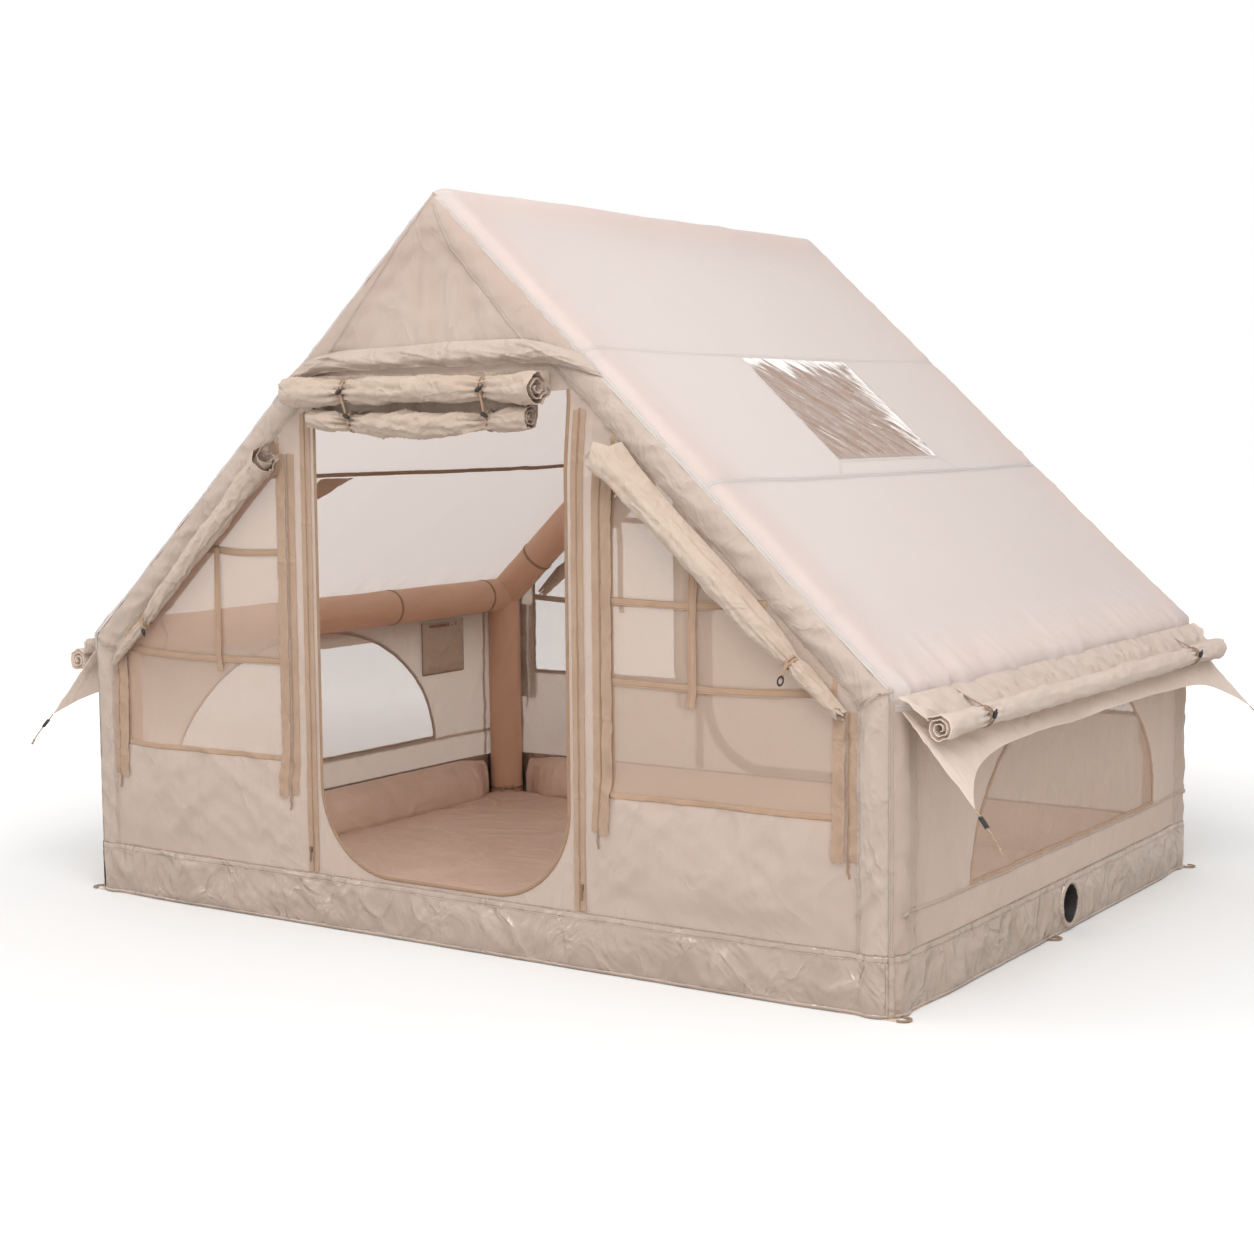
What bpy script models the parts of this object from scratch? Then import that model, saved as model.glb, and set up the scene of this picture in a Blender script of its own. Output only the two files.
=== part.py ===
"""Inflatable cabin tent on mitred air beams, with guyed side awnings, a rolled-up door and
triangular mesh windows. Metres, +Z up, the front looks along -Y, the origin is the centre of
the groundsheet's underside."""
import math

import bmesh
import bpy
from mathutils import Matrix, Vector

for old in list(bpy.data.objects):
    bpy.data.objects.remove(old)

# Overall sizes
tent_width = 3.00
tent_depth = 2.28
ridge_height = 2.24
eave_height = 0.875  # where the planes of wall and roof would meet
roof_hem_drop = 0.065  # from the eave down to the roof's hem, where the awning is sewn on
skirt_height = 0.17
tube_diameter = 0.14
tube_wall = 0.002
cloth = 0.002
film = 0.001
groundsheet_thickness = 0.003
seam_gap = 0.0003
ridge_round = 0.05
eave_round = 0.015
roof_overhang = 0.012

# Front and rear walls
sleeve_width = 0.12
corner_strip_width = 0.125
band_height = 0.07
strip_proud = 0.003
door_half_width = 0.465
door_sill_rise = 0.017  # from the skirt's upper edge
door_top_gap = 0.026  # below the rafter sleeve
door_header = 0.07  # from the door's top to the gable's base
door_corner_radius = 0.27
door_zip_gap = 0.04
zip_tape_width = 0.02
zip_tape_drop = 0.125  # from the gable's base
window_inner_gap = 0.115  # from the door's zip
window_outer_gap = 0.065  # from the corner strip
window_sill_height = 0.52
placket_width = 0.034
placket_drop = 0.115  # below the window's sill
placket_top_gap = 0.10  # below the rafter sleeve
outer_placket_gap = 0.055
strap_width = 0.02
strap_low_rise = 0.32  # above the window's sill
strap_high_rise = 0.58
strap_upright_place = 0.265  # from the window's inner edge
strap_upright_rise = 0.25
strap_upright_gap = 0.11  # below the rafter sleeve

# Side walls and roof
side_wall_drop = 0.035  # from the eave down to the side wall's upper edge
side_window_half_width = 0.72
side_window_rise = 0.11  # from the skirt's upper edge
side_window_centre = 0.04
side_window_top_gap = 0.07  # below the side wall's upper edge
pocket_width = 0.26
pocket_height = 0.19
pocket_depth = 0.012
pocket_centre = 0.74
pocket_drop = 0.315  # from the eave down to the pocket's lower edge
skylight_half_length = 0.34
skylight_centre = 0.06
skylight_top_run = 0.73
skylight_bottom_run = 1.20

# Port, peg loops and valve
port_height = 0.085
port_centre = 0.03
port_radius = 0.058
port_collar_radius = 0.075
port_collar_proud = 0.014
loop_length = 0.05
loop_reach = 0.036
loop_web = 0.01
loop_thickness = 0.004
valve_height = 0.32
valve_flange_radius = 0.03
valve_neck_radius = 0.019
valve_bore_radius = 0.012
valve_flange_thickness = 0.004
valve_neck_length = 0.016
valve_cap_thickness = 0.005

# Rolled cloth
door_roll_left_reach = 0.065  # past the door's left edge
door_roll_right_gap = 0.045
door_roll_drop = 0.055  # from the gable's base
door_roll_radius = 0.05
mesh_roll_left_gap = 0.015
mesh_roll_right_gap = 0.085
mesh_roll_drop = 0.132
mesh_roll_radius = 0.028
mesh_roll_sag = 0.022
roll_tail_gap = 0.006
window_roll_radius = 0.042
window_roll_offset = 0.052
window_roll_top_gap = 0.04
window_roll_end_reach = 0.025
side_roll_radius = 0.042
side_roll_end_gap = 0.04
side_roll_reach = 0.10  # roll centre out from the wall
side_roll_drop = 0.103  # from the eave
side_tail_drop = 0.025
side_tail_bend = 0.008
roll_cloth = 0.0025
roll_core_share = 0.2
roll_turns = 2.6

# Awnings and guys
awning_end_gap = 0.03
awning_lean_deg = 42.0  # out from hanging straight down
awning_mid_drop = 0.165
awning_tip_drop = 0.31
awning_tip_flare = 0.01
awning_root_clearance = 0.0014
awning_fold = 0.009
awning_hollow = 0.0036
guy_diameter = 0.004
runner_length = 0.034
runner_width = 0.012
runner_thickness = 0.007
runner_clearance = 0.0006
runner_place = 0.042  # its middle, along the cord from the awning's tip

# Zip sliders
slider_width = 0.009
slider_length = 0.016
slider_depth = 0.005
pull_width = 0.005
pull_length = 0.03
pull_thickness = 0.0015
door_slider_height = 0.235
window_slider_height = 0.42
rear_slider_height = 0.52

tube_sides = 20
arc_steps = 8
bevel_steps = 3
steps_per_turn = 10
weld_distance = 0.00001
mitre_limit = 0.2  # the sharpest corner that an inset outline follows
half_width = tent_width / 2
half_depth = tent_depth / 2
tube_radius = tube_diameter / 2
eave_seam_height = eave_height - roof_hem_drop
door_sill_height = skirt_height + door_sill_rise
door_zip_place = door_half_width + door_zip_gap
corner_edge = half_width - corner_strip_width
window_inner_edge = door_zip_place + window_inner_gap
window_outer_edge = corner_edge - window_outer_gap

# Roof pitch: the straight slope runs tangent to the ridge arc and down to the eave corner
pitch = math.atan2(ridge_height - eave_height, half_width)
for _ in range(30):
    crest = ridge_round * (1 / math.cos(pitch) - 1)
    pitch = math.atan2(ridge_height + crest - eave_height, half_width)
apex_height = eave_height + half_width * math.tan(pitch)

side_face = half_width - cloth - seam_gap  # outer face of side walls and skirts
tube_x = side_face - cloth - seam_gap - tube_radius
tube_y = half_depth - cloth - seam_gap - tube_radius

tent = bpy.data.collections.new("inflatable_tent")
cutters = bpy.data.collections.new("cutters")
for group in (tent, cutters):
    bpy.context.scene.collection.children.link(group)


def material(name, colour, roughness, metallic=0.0, alpha=1.0):
    made = bpy.data.materials.new(name)
    made.use_nodes = True
    shader = made.node_tree.nodes["Principled BSDF"]
    shader.inputs["Base Color"].default_value = (*colour, 1.0)
    shader.inputs["Roughness"].default_value = roughness
    shader.inputs["Metallic"].default_value = metallic
    shader.inputs["Alpha"].default_value = alpha
    return made


canvas = material("canvas", (0.72, 0.58, 0.47), 0.85)
roof_cloth = material("roof_cloth", (0.80, 0.73, 0.69), 0.8)
tube_sleeve = material("tube_sleeve", (0.42, 0.27, 0.20), 0.75)
coated_skirt = material("coated_skirt", (0.60, 0.51, 0.44), 0.35)
floor_cloth = material("floor_cloth", (0.45, 0.33, 0.25), 0.45)
insect_mesh = material("insect_mesh", (0.45, 0.34, 0.27), 0.9, alpha=0.5)
clear_film = material("clear_film", (0.75, 0.72, 0.70), 0.1, alpha=0.35)
webbing = material("webbing", (0.55, 0.40, 0.29), 0.8)
black_plastic = material("black_plastic", (0.02, 0.02, 0.02), 0.4)
valve_plastic = material("valve_plastic", (0.30, 0.28, 0.26), 0.45)
zip_metal = material("zip_metal", (0.35, 0.28, 0.22), 0.4, metallic=0.8)


def under_roof(x, depth):
    """Height of the line that runs parallel to the roof slope, this deep below its surface."""
    return apex_height - abs(x) * math.tan(pitch) - depth / math.cos(pitch)


def sleeve_line(x):
    return under_roof(x, sleeve_width)


def slope_x(height, depth):
    return (apex_height - depth / math.cos(pitch) - height) / math.tan(pitch)


def roof_section(depth):
    """Right half of the roof's cross-section from ridge to hem, this deep below its surface."""
    ridge_centre = ridge_height - ridge_round
    eave_x = half_width - eave_round
    eave_centre = under_roof(eave_x, eave_round)
    points = []
    for step in range(arc_steps + 1):
        turn = pitch * step / arc_steps
        reach = ridge_round - depth
        points.append((reach * math.sin(turn), ridge_centre + reach * math.cos(turn)))
    for step in range(arc_steps + 1):
        turn = pitch + (math.pi / 2 - pitch) * step / arc_steps
        reach = eave_round - depth
        points.append((eave_x + reach * math.sin(turn), eave_centre + reach * math.cos(turn)))
    points.append((half_width - depth, eave_seam_height))
    return points


def mirrored(points):
    return [(-x, y) for x, y in reversed(points)]


def between(low, high, share):
    return low + (high - low) * share


def inset(points, distance):
    """The outline drawn in by a distance all round; a negative distance grows it."""
    area = sum(a[0] * b[1] - b[0] * a[1] for a, b in zip(points, points[1:] + points[:1]))
    side = math.copysign(distance, area) if distance > 0 else -math.copysign(distance, area)
    moved = []
    for i, corner in enumerate(points):
        here = Vector(corner)
        before = (here - Vector(points[i - 1])).normalized()
        after = (Vector(points[(i + 1) % len(points)]) - here).normalized()
        bisector = Vector((-before.y - after.y, before.x + after.x)).normalized()
        spread = max(bisector.dot(Vector((-before.y, before.x))), mitre_limit)
        moved.append(tuple(here + bisector * side / spread))
    return moved


def rectangle(left, right, low, high):
    return [(left, low), (right, low), (right, high), (left, high)]


def wall_place(face, lift=0.0):
    """Matrix of a wall's outer face: local X to the right, local Y up, local Z outwards."""
    turns = {"front": 0, "right": 1, "rear": 2, "left": 3}[face]
    reach = half_depth if turns % 2 == 0 else side_face
    upright = Matrix(((1, 0, 0, 0), (0, 0, -1, -reach - lift), (0, 1, 0, 0), (0, 0, 0, 1)))
    return Matrix.Rotation(turns * math.pi / 2, 4, "Z") @ upright


def slope_place(face, lift=0.0):
    """Matrix of a roof slope: local X along the ridge, local Y up the slope, local Z outwards."""
    run, rise = math.cos(pitch), math.sin(pitch)
    right = Matrix(
        (
            (0, -run, rise, lift * rise),
            (1, 0, 0, 0),
            (0, rise, run, apex_height + lift * run),
            (0, 0, 0, 1),
        )
    )
    return right if face == "right" else Matrix.Rotation(math.pi, 4, "Z") @ right


def adopt(solid, finish):
    solid.data.materials.clear()
    solid.data.materials.append(finish)
    tent.objects.link(solid)
    return solid


def panel(name, outline, place, thickness, finish, holes=()):
    """Flat cloth panel whose outer face lies in the place's plane."""
    flat = bpy.data.curves.new(name, "CURVE")
    flat.dimensions = "2D"
    flat.fill_mode = "BOTH"
    flat.extrude = thickness / 2
    for loop in (outline, *holes):
        spline = flat.splines.new("POLY")
        spline.points.add(len(loop) - 1)
        for point, (x, y) in zip(spline.points, loop):
            point.co = (x, y, 0, 1)
        spline.use_cyclic_u = True
    made = adopt(bpy.data.objects.new(name, flat), finish)
    made.matrix_world = place @ Matrix.Translation((0, 0, -thickness / 2))
    return made


def as_mesh(source):
    """Turns a curve object into a welded mesh object under the same name."""
    bpy.context.view_layer.update()
    graph = bpy.context.evaluated_depsgraph_get()
    data = bpy.data.meshes.new_from_object(source.evaluated_get(graph))
    shell = bmesh.new()
    shell.from_mesh(data)
    bmesh.ops.remove_doubles(shell, verts=shell.verts, dist=weld_distance)
    bmesh.ops.recalc_face_normals(shell, faces=shell.faces)
    shell.to_mesh(data)
    shell.free()
    name, place = source.name, source.matrix_world.copy()
    homes = list(source.users_collection)
    bpy.data.objects.remove(source)
    made = bpy.data.objects.new(name, data)
    made.matrix_world = place
    for home in homes:
        home.objects.link(made)
    return made


def as_tool(solid):
    if solid.type == "CURVE":
        solid = as_mesh(solid)
    for home in list(solid.users_collection):
        home.objects.unlink(solid)
    cutters.objects.link(solid)
    solid.hide_render = True
    solid.display_type = "WIRE"
    return solid


def boolean(base, operation, *tools):
    if base.type == "CURVE":
        base = as_mesh(base)
    for tool in tools:
        step = base.modifiers.new(operation.lower(), "BOOLEAN")
        step.operation = operation
        step.solver = "EXACT"
        step.object = as_tool(tool)
    return base


def mesh_object(name, shell, finish, smooth_deg=40):
    data = bpy.data.meshes.new(name)
    shell.to_mesh(data)
    shell.free()
    data.shade_smooth()
    data.set_sharp_from_angle(angle=math.radians(smooth_deg))
    return adopt(bpy.data.objects.new(name, data), finish)


def solidify(solid, thickness, offset):
    wall = solid.modifiers.new("wall", "SOLIDIFY")
    wall.thickness = thickness
    wall.offset = offset
    return solid


def block(name, low, high, finish):
    shell = bmesh.new()
    bmesh.ops.create_cube(shell, size=1)
    size, centre = Vector(high) - Vector(low), (Vector(high) + Vector(low)) / 2
    bmesh.ops.scale(shell, vec=size, verts=shell.verts)
    bmesh.ops.translate(shell, vec=centre, verts=shell.verts)
    return mesh_object(name, shell, finish, smooth_deg=20)


def hang(name, axis_point, *pieces):
    """Parents moving pieces to an empty on their joint's axis and leaves them in place."""
    axis = bpy.data.objects.new(name, None)
    axis.location = axis_point
    tent.objects.link(axis)
    for piece in pieces:
        piece.parent = axis
        piece.matrix_parent_inverse = Matrix.Translation(axis_point).inverted()


# Air frame: straight tubes, open at their mitres, where the real beams are welded together
def rod(shell, start, end, radius, capped=False):
    """Adds a round rod or tube skin between two points."""
    axis = end - start
    made = bmesh.ops.create_cone(
        shell,
        cap_ends=capped,
        segments=tube_sides,
        radius1=radius,
        radius2=radius,
        depth=axis.length,
    )
    turn = axis.to_track_quat("Z", "Y").to_matrix().to_4x4()
    place = Matrix.Translation((start + end) / 2) @ turn
    bmesh.ops.transform(shell, matrix=place, verts=made["verts"])
    return made["verts"]


def air_tube(name, start, end, overrun=0.0, cuts=()):
    """Hollow tube, each cut given by a point and the direction that is taken away."""
    shell = bmesh.new()
    way = (end - start).normalized()
    ends = (start - way * overrun, end + way * overrun)
    rod(shell, *ends, tube_radius)
    bore = rod(shell, *ends, tube_radius - tube_wall)
    inner = {face for vert in bore for face in vert.link_faces}
    bmesh.ops.reverse_faces(shell, faces=list(inner))
    for point, outward in cuts:
        everything = shell.verts[:] + shell.edges[:] + shell.faces[:]
        bmesh.ops.bisect_plane(
            shell, geom=everything, plane_co=point, plane_no=outward, clear_outer=True
        )
    middle = (start + end) / 2
    rims = ([], [])
    for edge in shell.edges:
        if edge.is_boundary:
            rims[(edge.verts[0].co - middle).dot(way) > 0].append(edge)
    for rim in rims:
        bmesh.ops.bridge_loops(shell, edges=rim)
    bmesh.ops.recalc_face_normals(shell, faces=shell.faces)
    return mesh_object(name, shell, tube_sleeve)


def notch(start, end):
    """Closed rod a seam gap wider than an air tube, which notches what butts against it."""
    shell = bmesh.new()
    way = (end - start).normalized()
    rod(shell, start - way * tube_radius, end + way * tube_radius, tube_radius + seam_gap, True)
    return mesh_object("notch", shell, tube_sleeve)


roof_to_axis = cloth + seam_gap + tube_radius
eave_axis_height = under_roof(tube_x, roof_to_axis)
ridge_axis_height = under_roof(0, roof_to_axis)
post_foot = groundsheet_thickness + seam_gap
rafter_crest = ridge_height - ridge_round + (ridge_round - cloth) * math.cos(pitch) - seam_gap
up = Vector((0, 0, 1))
half_gap = seam_gap / 2


def frame_points(end_side, side):
    """Foot, eave corner and ridge end of one post and its rafter, on their axes."""
    return (
        Vector((side * tube_x, end_side * tube_y, post_foot)),
        Vector((side * tube_x, end_side * tube_y, eave_axis_height)),
        Vector((0, end_side * tube_y, ridge_axis_height)),
    )


for end_name, end_side in (("front", -1), ("rear", 1)):
    for side_name, side in (("left", -1), ("right", 1)):
        foot, corner, top = frame_points(end_side, side)
        mitre = (up + (top - corner).normalized()).normalized()
        air_tube(
            f"post_{end_name}_{side_name}",
            foot,
            corner,
            tube_diameter,
            [(corner - mitre * half_gap, mitre), (foot, -up)],
        )
        air_tube(
            f"rafter_{end_name}_{side_name}",
            corner,
            top,
            tube_diameter,
            [
                (corner + mitre * half_gap, -mitre),
                (Vector((side * half_gap, 0, 0)), Vector((-side, 0, 0))),
                (Vector((0, 0, rafter_crest)), up),
            ],
        )


def long_beam(name, x, height, notches):
    """Beam from the front frame to the rear one, notched round the tubes that it meets."""
    ends = [Vector((x, end_side * tube_y, height)) for end_side in (-1, 1)]
    return boolean(air_tube(name, *ends), "DIFFERENCE", *notches)


for side_name, side in (("left", -1), ("right", 1)):
    notches = []
    for end_side in (-1, 1):
        foot, corner, top = frame_points(end_side, side)
        notches += [notch(foot, corner), notch(corner, top)]
    long_beam(f"eave_beam_{side_name}", side * tube_x, eave_axis_height, notches)

rafter_notches = []
for end_side in (-1, 1):
    for side in (-1, 1):
        foot, corner, top = frame_points(end_side, side)
        rafter_notches.append(notch(corner, top))
long_beam("ridge_beam", 0, ridge_axis_height, rafter_notches)


# Inflation valve on the front left post, looking into the cabin, and its hinged cap
def turned(name, profile, place, finish):
    """Turned piece: the profile of (radius, height) runs from the top centre down and round."""
    shell = bmesh.new()
    verts = [shell.verts.new((radius, 0, height)) for radius, height in profile]
    for a, b in zip(verts, verts[1:]):
        shell.edges.new((a, b))
    data = bpy.data.meshes.new(name)
    shell.to_mesh(data)
    shell.free()
    made = adopt(bpy.data.objects.new(name, data), finish)
    spin = made.modifiers.new("turn", "SCREW")
    spin.steps = spin.render_steps = 20
    spin.use_merge_vertices = True
    spin.merge_threshold = 0.0001
    made.matrix_world = place
    return made


valve_seat = -tube_y + tube_radius + seam_gap
valve_place = Matrix.Translation((-tube_x, valve_seat, valve_height)) @ Matrix.Rotation(
    -math.pi / 2, 4, "X"
)
neck_top = valve_flange_thickness + valve_neck_length
turned(
    "inflation_valve",
    [
        (0, valve_flange_thickness),
        (valve_bore_radius, valve_flange_thickness),
        (valve_bore_radius, neck_top),
        (valve_neck_radius, neck_top),
        (valve_neck_radius, valve_flange_thickness),
        (valve_flange_radius, valve_flange_thickness),
        (valve_flange_radius, 0),
        (0, 0),
    ],
    valve_place,
    valve_plastic,
)
cap_low = neck_top + seam_gap
cap = turned(
    "valve_cap",
    [
        (0, cap_low + valve_cap_thickness),
        (valve_neck_radius, cap_low + valve_cap_thickness),
        (valve_neck_radius, cap_low),
        (0, cap_low),
    ],
    valve_place,
    valve_plastic,
)
cap_hinge = Vector((-tube_x, valve_seat + cap_low, valve_height + valve_neck_radius))
hang("valve_cap_hinge", cap_hinge, cap)

# Tub floor: groundsheet and skirts, whose inner faces run on from the walls
skirt_proud = groundsheet_thickness - cloth
block(
    "groundsheet",
    (-(side_face - cloth - seam_gap), -(half_depth - cloth - seam_gap), 0),
    (side_face - cloth - seam_gap, half_depth - cloth - seam_gap, groundsheet_thickness),
    floor_cloth,
)
for face in ("front", "rear"):
    panel(
        f"skirt_{face}",
        rectangle(
            -side_face - skirt_proud, side_face + skirt_proud, 0, skirt_height - half_gap
        ),
        wall_place(face, skirt_proud),
        groundsheet_thickness,
        coated_skirt,
    )


def circle(x, y, radius, steps=24):
    turns = [2 * math.pi * i / steps for i in range(steps)]
    return [(x + radius * math.cos(turn), y + radius * math.sin(turn)) for turn in turns]


def peg_loop(name, y, side):
    """Flat webbing eye on the ground, reaching out from the foot of a side skirt."""
    root = side_face - groundsheet_thickness / 2
    out = side_face + loop_reach
    outline = rectangle(root, out, y - loop_length / 2, y + loop_length / 2)
    eye = rectangle(
        side_face + loop_web,
        out - loop_web,
        y - loop_length / 2 + loop_web,
        y + loop_length / 2 - loop_web,
    )
    flat = [[(side * x, y) for x, y in loop] for loop in (outline, eye)]
    place = Matrix.Translation((0, 0, loop_thickness))
    return panel(name, flat[0], place, loop_thickness, webbing, holes=flat[1:])


side_run = half_depth - cloth - seam_gap
for face, side in (("left", -1), ("right", 1)):
    port_holes = [circle(port_centre, port_height, port_radius)] if face == "right" else []
    skirt = panel(
        f"skirt_{face}",
        rectangle(-side_run, side_run, 0, skirt_height - half_gap),
        wall_place(face, skirt_proud),
        groundsheet_thickness,
        coated_skirt,
        holes=port_holes,
    )
    loops = [
        peg_loop("loop", y, side)
        for y in (-side_run + loop_length / 2, side_run - loop_length / 2)
    ]
    middle_loop = peg_loop("loop", port_centre - port_collar_radius - loop_length, side)
    additions = [*loops, middle_loop]
    if face == "right":
        collar = panel(
            "collar",
            circle(port_centre, port_height, port_collar_radius),
            wall_place(face, port_collar_proud),
            port_collar_proud + groundsheet_thickness,
            canvas,
            holes=port_holes,
        )
        additions.append(collar)
    boolean(skirt, "UNION", *additions)


# Front wall; the rear wall repeats it turned half round
door_top_height = sleeve_line(door_half_width) - door_top_gap
gable_base_height = door_top_height + door_header
roof_side = [point for point in roof_section(cloth + half_gap) if point[1] < gable_base_height]


def head_line(left, right):
    """Upper edge of what is below gable and sleeve, from right to left."""
    corner = slope_x(gable_base_height, sleeve_width)
    stops = [right] + ([corner] if left < corner < right else []) + [left]
    return [(x, min(sleeve_line(x), gable_base_height)) for x in stops]


gable_outline = (
    [(-slope_x(gable_base_height, cloth + half_gap), gable_base_height)]
    + [(slope_x(gable_base_height, cloth + half_gap), gable_base_height)]
    + [p for p in reversed(roof_section(cloth + half_gap)) if p[1] > gable_base_height]
)
gable_outline += [
    (-x, z) for x, z in roof_section(cloth + half_gap)[1:] if z > gable_base_height
]
sleeve_outline = (
    [(slope_x(gable_base_height, sleeve_width), gable_base_height)]
    + [(corner_edge, sleeve_line(corner_edge))]
    + [(corner_edge, skirt_height), (half_width - cloth - half_gap, skirt_height)]
    + list(reversed(roof_side))
    + [(slope_x(gable_base_height, cloth + half_gap), gable_base_height)]
)
wall_outline = [
    (door_zip_place, skirt_height),
    (corner_edge, skirt_height),
    (corner_edge, sleeve_line(corner_edge)),
    (window_outer_edge, sleeve_line(window_outer_edge)),
    (window_outer_edge, window_sill_height),
    (window_inner_edge, window_sill_height),
    *head_line(door_zip_place, window_inner_edge),
]
window_outline = [
    (window_inner_edge, window_sill_height),
    (window_outer_edge, window_sill_height),
    *head_line(window_inner_edge, window_outer_edge),
]
door_head = head_line(0, door_zip_place)
surround_outline = [
    (-door_zip_place, skirt_height),
    (door_zip_place, skirt_height),
    *door_head,
    *mirrored(door_head[:-1]),
]


def door_outline():
    """Doorway with round lower corners, from its top left corner anticlockwise."""
    points = [(-door_half_width, door_top_height)]
    for centre_side, start in ((-1, math.pi), (1, 1.5 * math.pi)):
        centre = centre_side * (door_half_width - door_corner_radius)
        for step in range(arc_steps + 1):
            turn = start + math.pi / 2 * step / arc_steps
            x = centre + door_corner_radius * math.cos(turn)
            z = door_sill_height + door_corner_radius * (1 + math.sin(turn))
            points.append((x, z))
    points.append((door_half_width, door_top_height))
    return points


def sided(points, side):
    return points if side > 0 else mirrored(points)


def strip(place, left, right, low, high, side=1, finish=webbing):
    """Sewn strip that stands proud of the wall and goes half into its cloth."""
    outline = sided(rectangle(left, right, low, high), side)
    return panel("strip", outline, place, strip_proud + cloth / 2, finish)


def bar_strip(place, height, side):
    """Level window strap from the jamb to where it meets the sleeve."""
    end = min(slope_x(height + strap_width / 2, sleeve_width + seam_gap), window_outer_edge)
    return strip(
        place,
        window_inner_edge + seam_gap,
        end - seam_gap,
        height - strap_width / 2,
        height + strap_width / 2,
        side,
    )


def window_panel(name, face, side):
    proud = wall_place(face, strip_proud)
    mesh = panel(
        name,
        sided(inset(window_outline, half_gap), side),
        wall_place(face),
        cloth,
        insect_mesh,
    )
    upright_edge = window_inner_edge + strap_upright_place + strap_width / 2
    upright = strip(
        proud,
        upright_edge - strap_width,
        upright_edge,
        window_sill_height + strap_upright_rise,
        sleeve_line(upright_edge) - strap_upright_gap,
        side,
    )
    bars = [
        bar_strip(proud, window_sill_height + rise, side)
        for rise in (strap_low_rise, strap_high_rise)
    ]
    return boolean(mesh, "UNION", *bars, upright)


def wall_strips(face, side):
    """Plackets on both sides of the window and the tape of the long straight zip."""
    proud = wall_place(face, strip_proud)
    return [
        strip(
            proud,
            window_inner_edge - placket_width - seam_gap,
            window_inner_edge - seam_gap,
            window_sill_height - placket_drop,
            sleeve_line(window_inner_edge) - placket_top_gap,
            side,
        ),
        strip(
            proud,
            window_outer_edge + seam_gap,
            window_outer_edge + placket_width,
            window_sill_height - placket_drop,
            sleeve_line(window_outer_edge + placket_width) - outer_placket_gap,
            side,
        ),
        strip(
            proud,
            door_zip_place + seam_gap,
            door_zip_place + zip_tape_width,
            skirt_height + seam_gap,
            gable_base_height - zip_tape_drop,
            side,
        ),
    ]


band_thickness = strip_proud + cloth / 2
band_outline = [
    (-slope_x(gable_base_height, sleeve_width / 2), gable_base_height + half_gap),
    (slope_x(gable_base_height, sleeve_width / 2), gable_base_height + half_gap),
    (slope_x(gable_base_height + band_height, cloth * 2), gable_base_height + band_height),
    (-slope_x(gable_base_height + band_height, cloth * 2), gable_base_height + band_height),
]


def gable_panel(name, face, outline):
    gable = panel(name, inset(outline, half_gap), wall_place(face), cloth, canvas)
    band = panel("band", band_outline, wall_place(face, strip_proud), band_thickness, canvas)
    return boolean(gable, "UNION", band)


gable_panel("front_gable", "front", gable_outline)
for side_name, side in (("left", -1), ("right", 1)):
    panel(
        f"front_sleeve_{side_name}",
        sided(inset(sleeve_outline, half_gap), side),
        wall_place("front"),
        cloth,
        canvas,
    )
    wall = panel(
        f"front_wall_{side_name}",
        sided(inset(wall_outline, half_gap), side),
        wall_place("front"),
        cloth,
        canvas,
    )
    boolean(wall, "UNION", *wall_strips("front", side))
    window_panel(f"front_window_{side_name}", "front", side)
panel(
    "door_surround",
    inset(surround_outline, half_gap),
    wall_place("front"),
    cloth,
    webbing,
    holes=[door_outline()],
)


# Rolled window covers: bunched cloth sewn along the sleeve, gathered at one tie
roll_place_shares = (0.0, 0.06, 0.14, 0.25, 0.38, 0.52, 0.66, 0.76, 0.80, 0.84, 0.92, 1.0)
roll_size_shares = (0.80, 1.0, 0.92, 0.84, 0.90, 0.86, 0.78, 0.62, 0.46, 0.56, 0.50, 0.34)


flat_share = math.cos(math.pi / (2 * bevel_steps + 4))  # facet to corner of a bevelled round


def window_roll(name, face, side, end, lift):
    """Cover gathered along the sleeve as far as end, resting this far out from the wall."""
    path = bpy.data.curves.new(name, "CURVE")
    path.dimensions = "3D"
    path.bevel_depth = 1.0
    path.bevel_resolution = bevel_steps
    path.use_fill_caps = True
    spline = path.splines.new("POLY")
    spline.points.add(len(roll_place_shares) - 1)
    for point, place_share, size_share in zip(
        spline.points, roll_place_shares, roll_size_shares
    ):
        radius = window_roll_radius * size_share
        x = between(window_inner_edge + window_roll_top_gap, end, place_share)
        height = under_roof(x, sleeve_width + window_roll_offset)
        point.co = (side * x, height, lift + radius * flat_share, 1)
        point.radius = radius
    made = adopt(bpy.data.objects.new(name, path), canvas)
    made.matrix_world = wall_place(face)
    return made


front_lift = strip_proud + seam_gap
front_roll_end = window_outer_edge + window_roll_end_reach
for side_name, side in (("left", -1), ("right", 1)):
    window_roll(f"front_window_roll_{side_name}", "front", side, front_roll_end, front_lift)

# Rear wall: the same cuts, with the door zipped shut, and gable and sleeves in one piece
sleeve_inner = [
    (slope_x(gable_base_height, sleeve_width), gable_base_height),
    (corner_edge, sleeve_line(corner_edge)),
    (corner_edge, skirt_height),
    (half_width - cloth - half_gap, skirt_height),
]
rear_half = sleeve_inner + list(reversed(roof_section(cloth + half_gap)[1:]))
gable_panel("rear_gable", "rear", rear_half + mirrored(rear_half))
rear_side = wall_outline[1:-1] + door_head[:-1]
rear_outline = rear_side + mirrored(rear_side)
rear_wall = panel(
    "rear_wall",
    inset(rear_outline, half_gap),
    wall_place("rear"),
    cloth,
    canvas,
    holes=[door_outline()],
)
boolean(rear_wall, "UNION", *wall_strips("rear", 1), *wall_strips("rear", -1))
rear_door = panel("rear_door", inset(door_outline(), seam_gap), wall_place("rear"), cloth, canvas)
rear_roll_end = window_outer_edge - strap_width
for side_name, side in (("left", 1), ("right", -1)):  # named as seen from the front
    window = window_panel(f"rear_window_{side_name}", "rear", side)
    boolean(window, "UNION", window_roll("roll", "rear", side, rear_roll_end, -cloth / 2))


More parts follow.
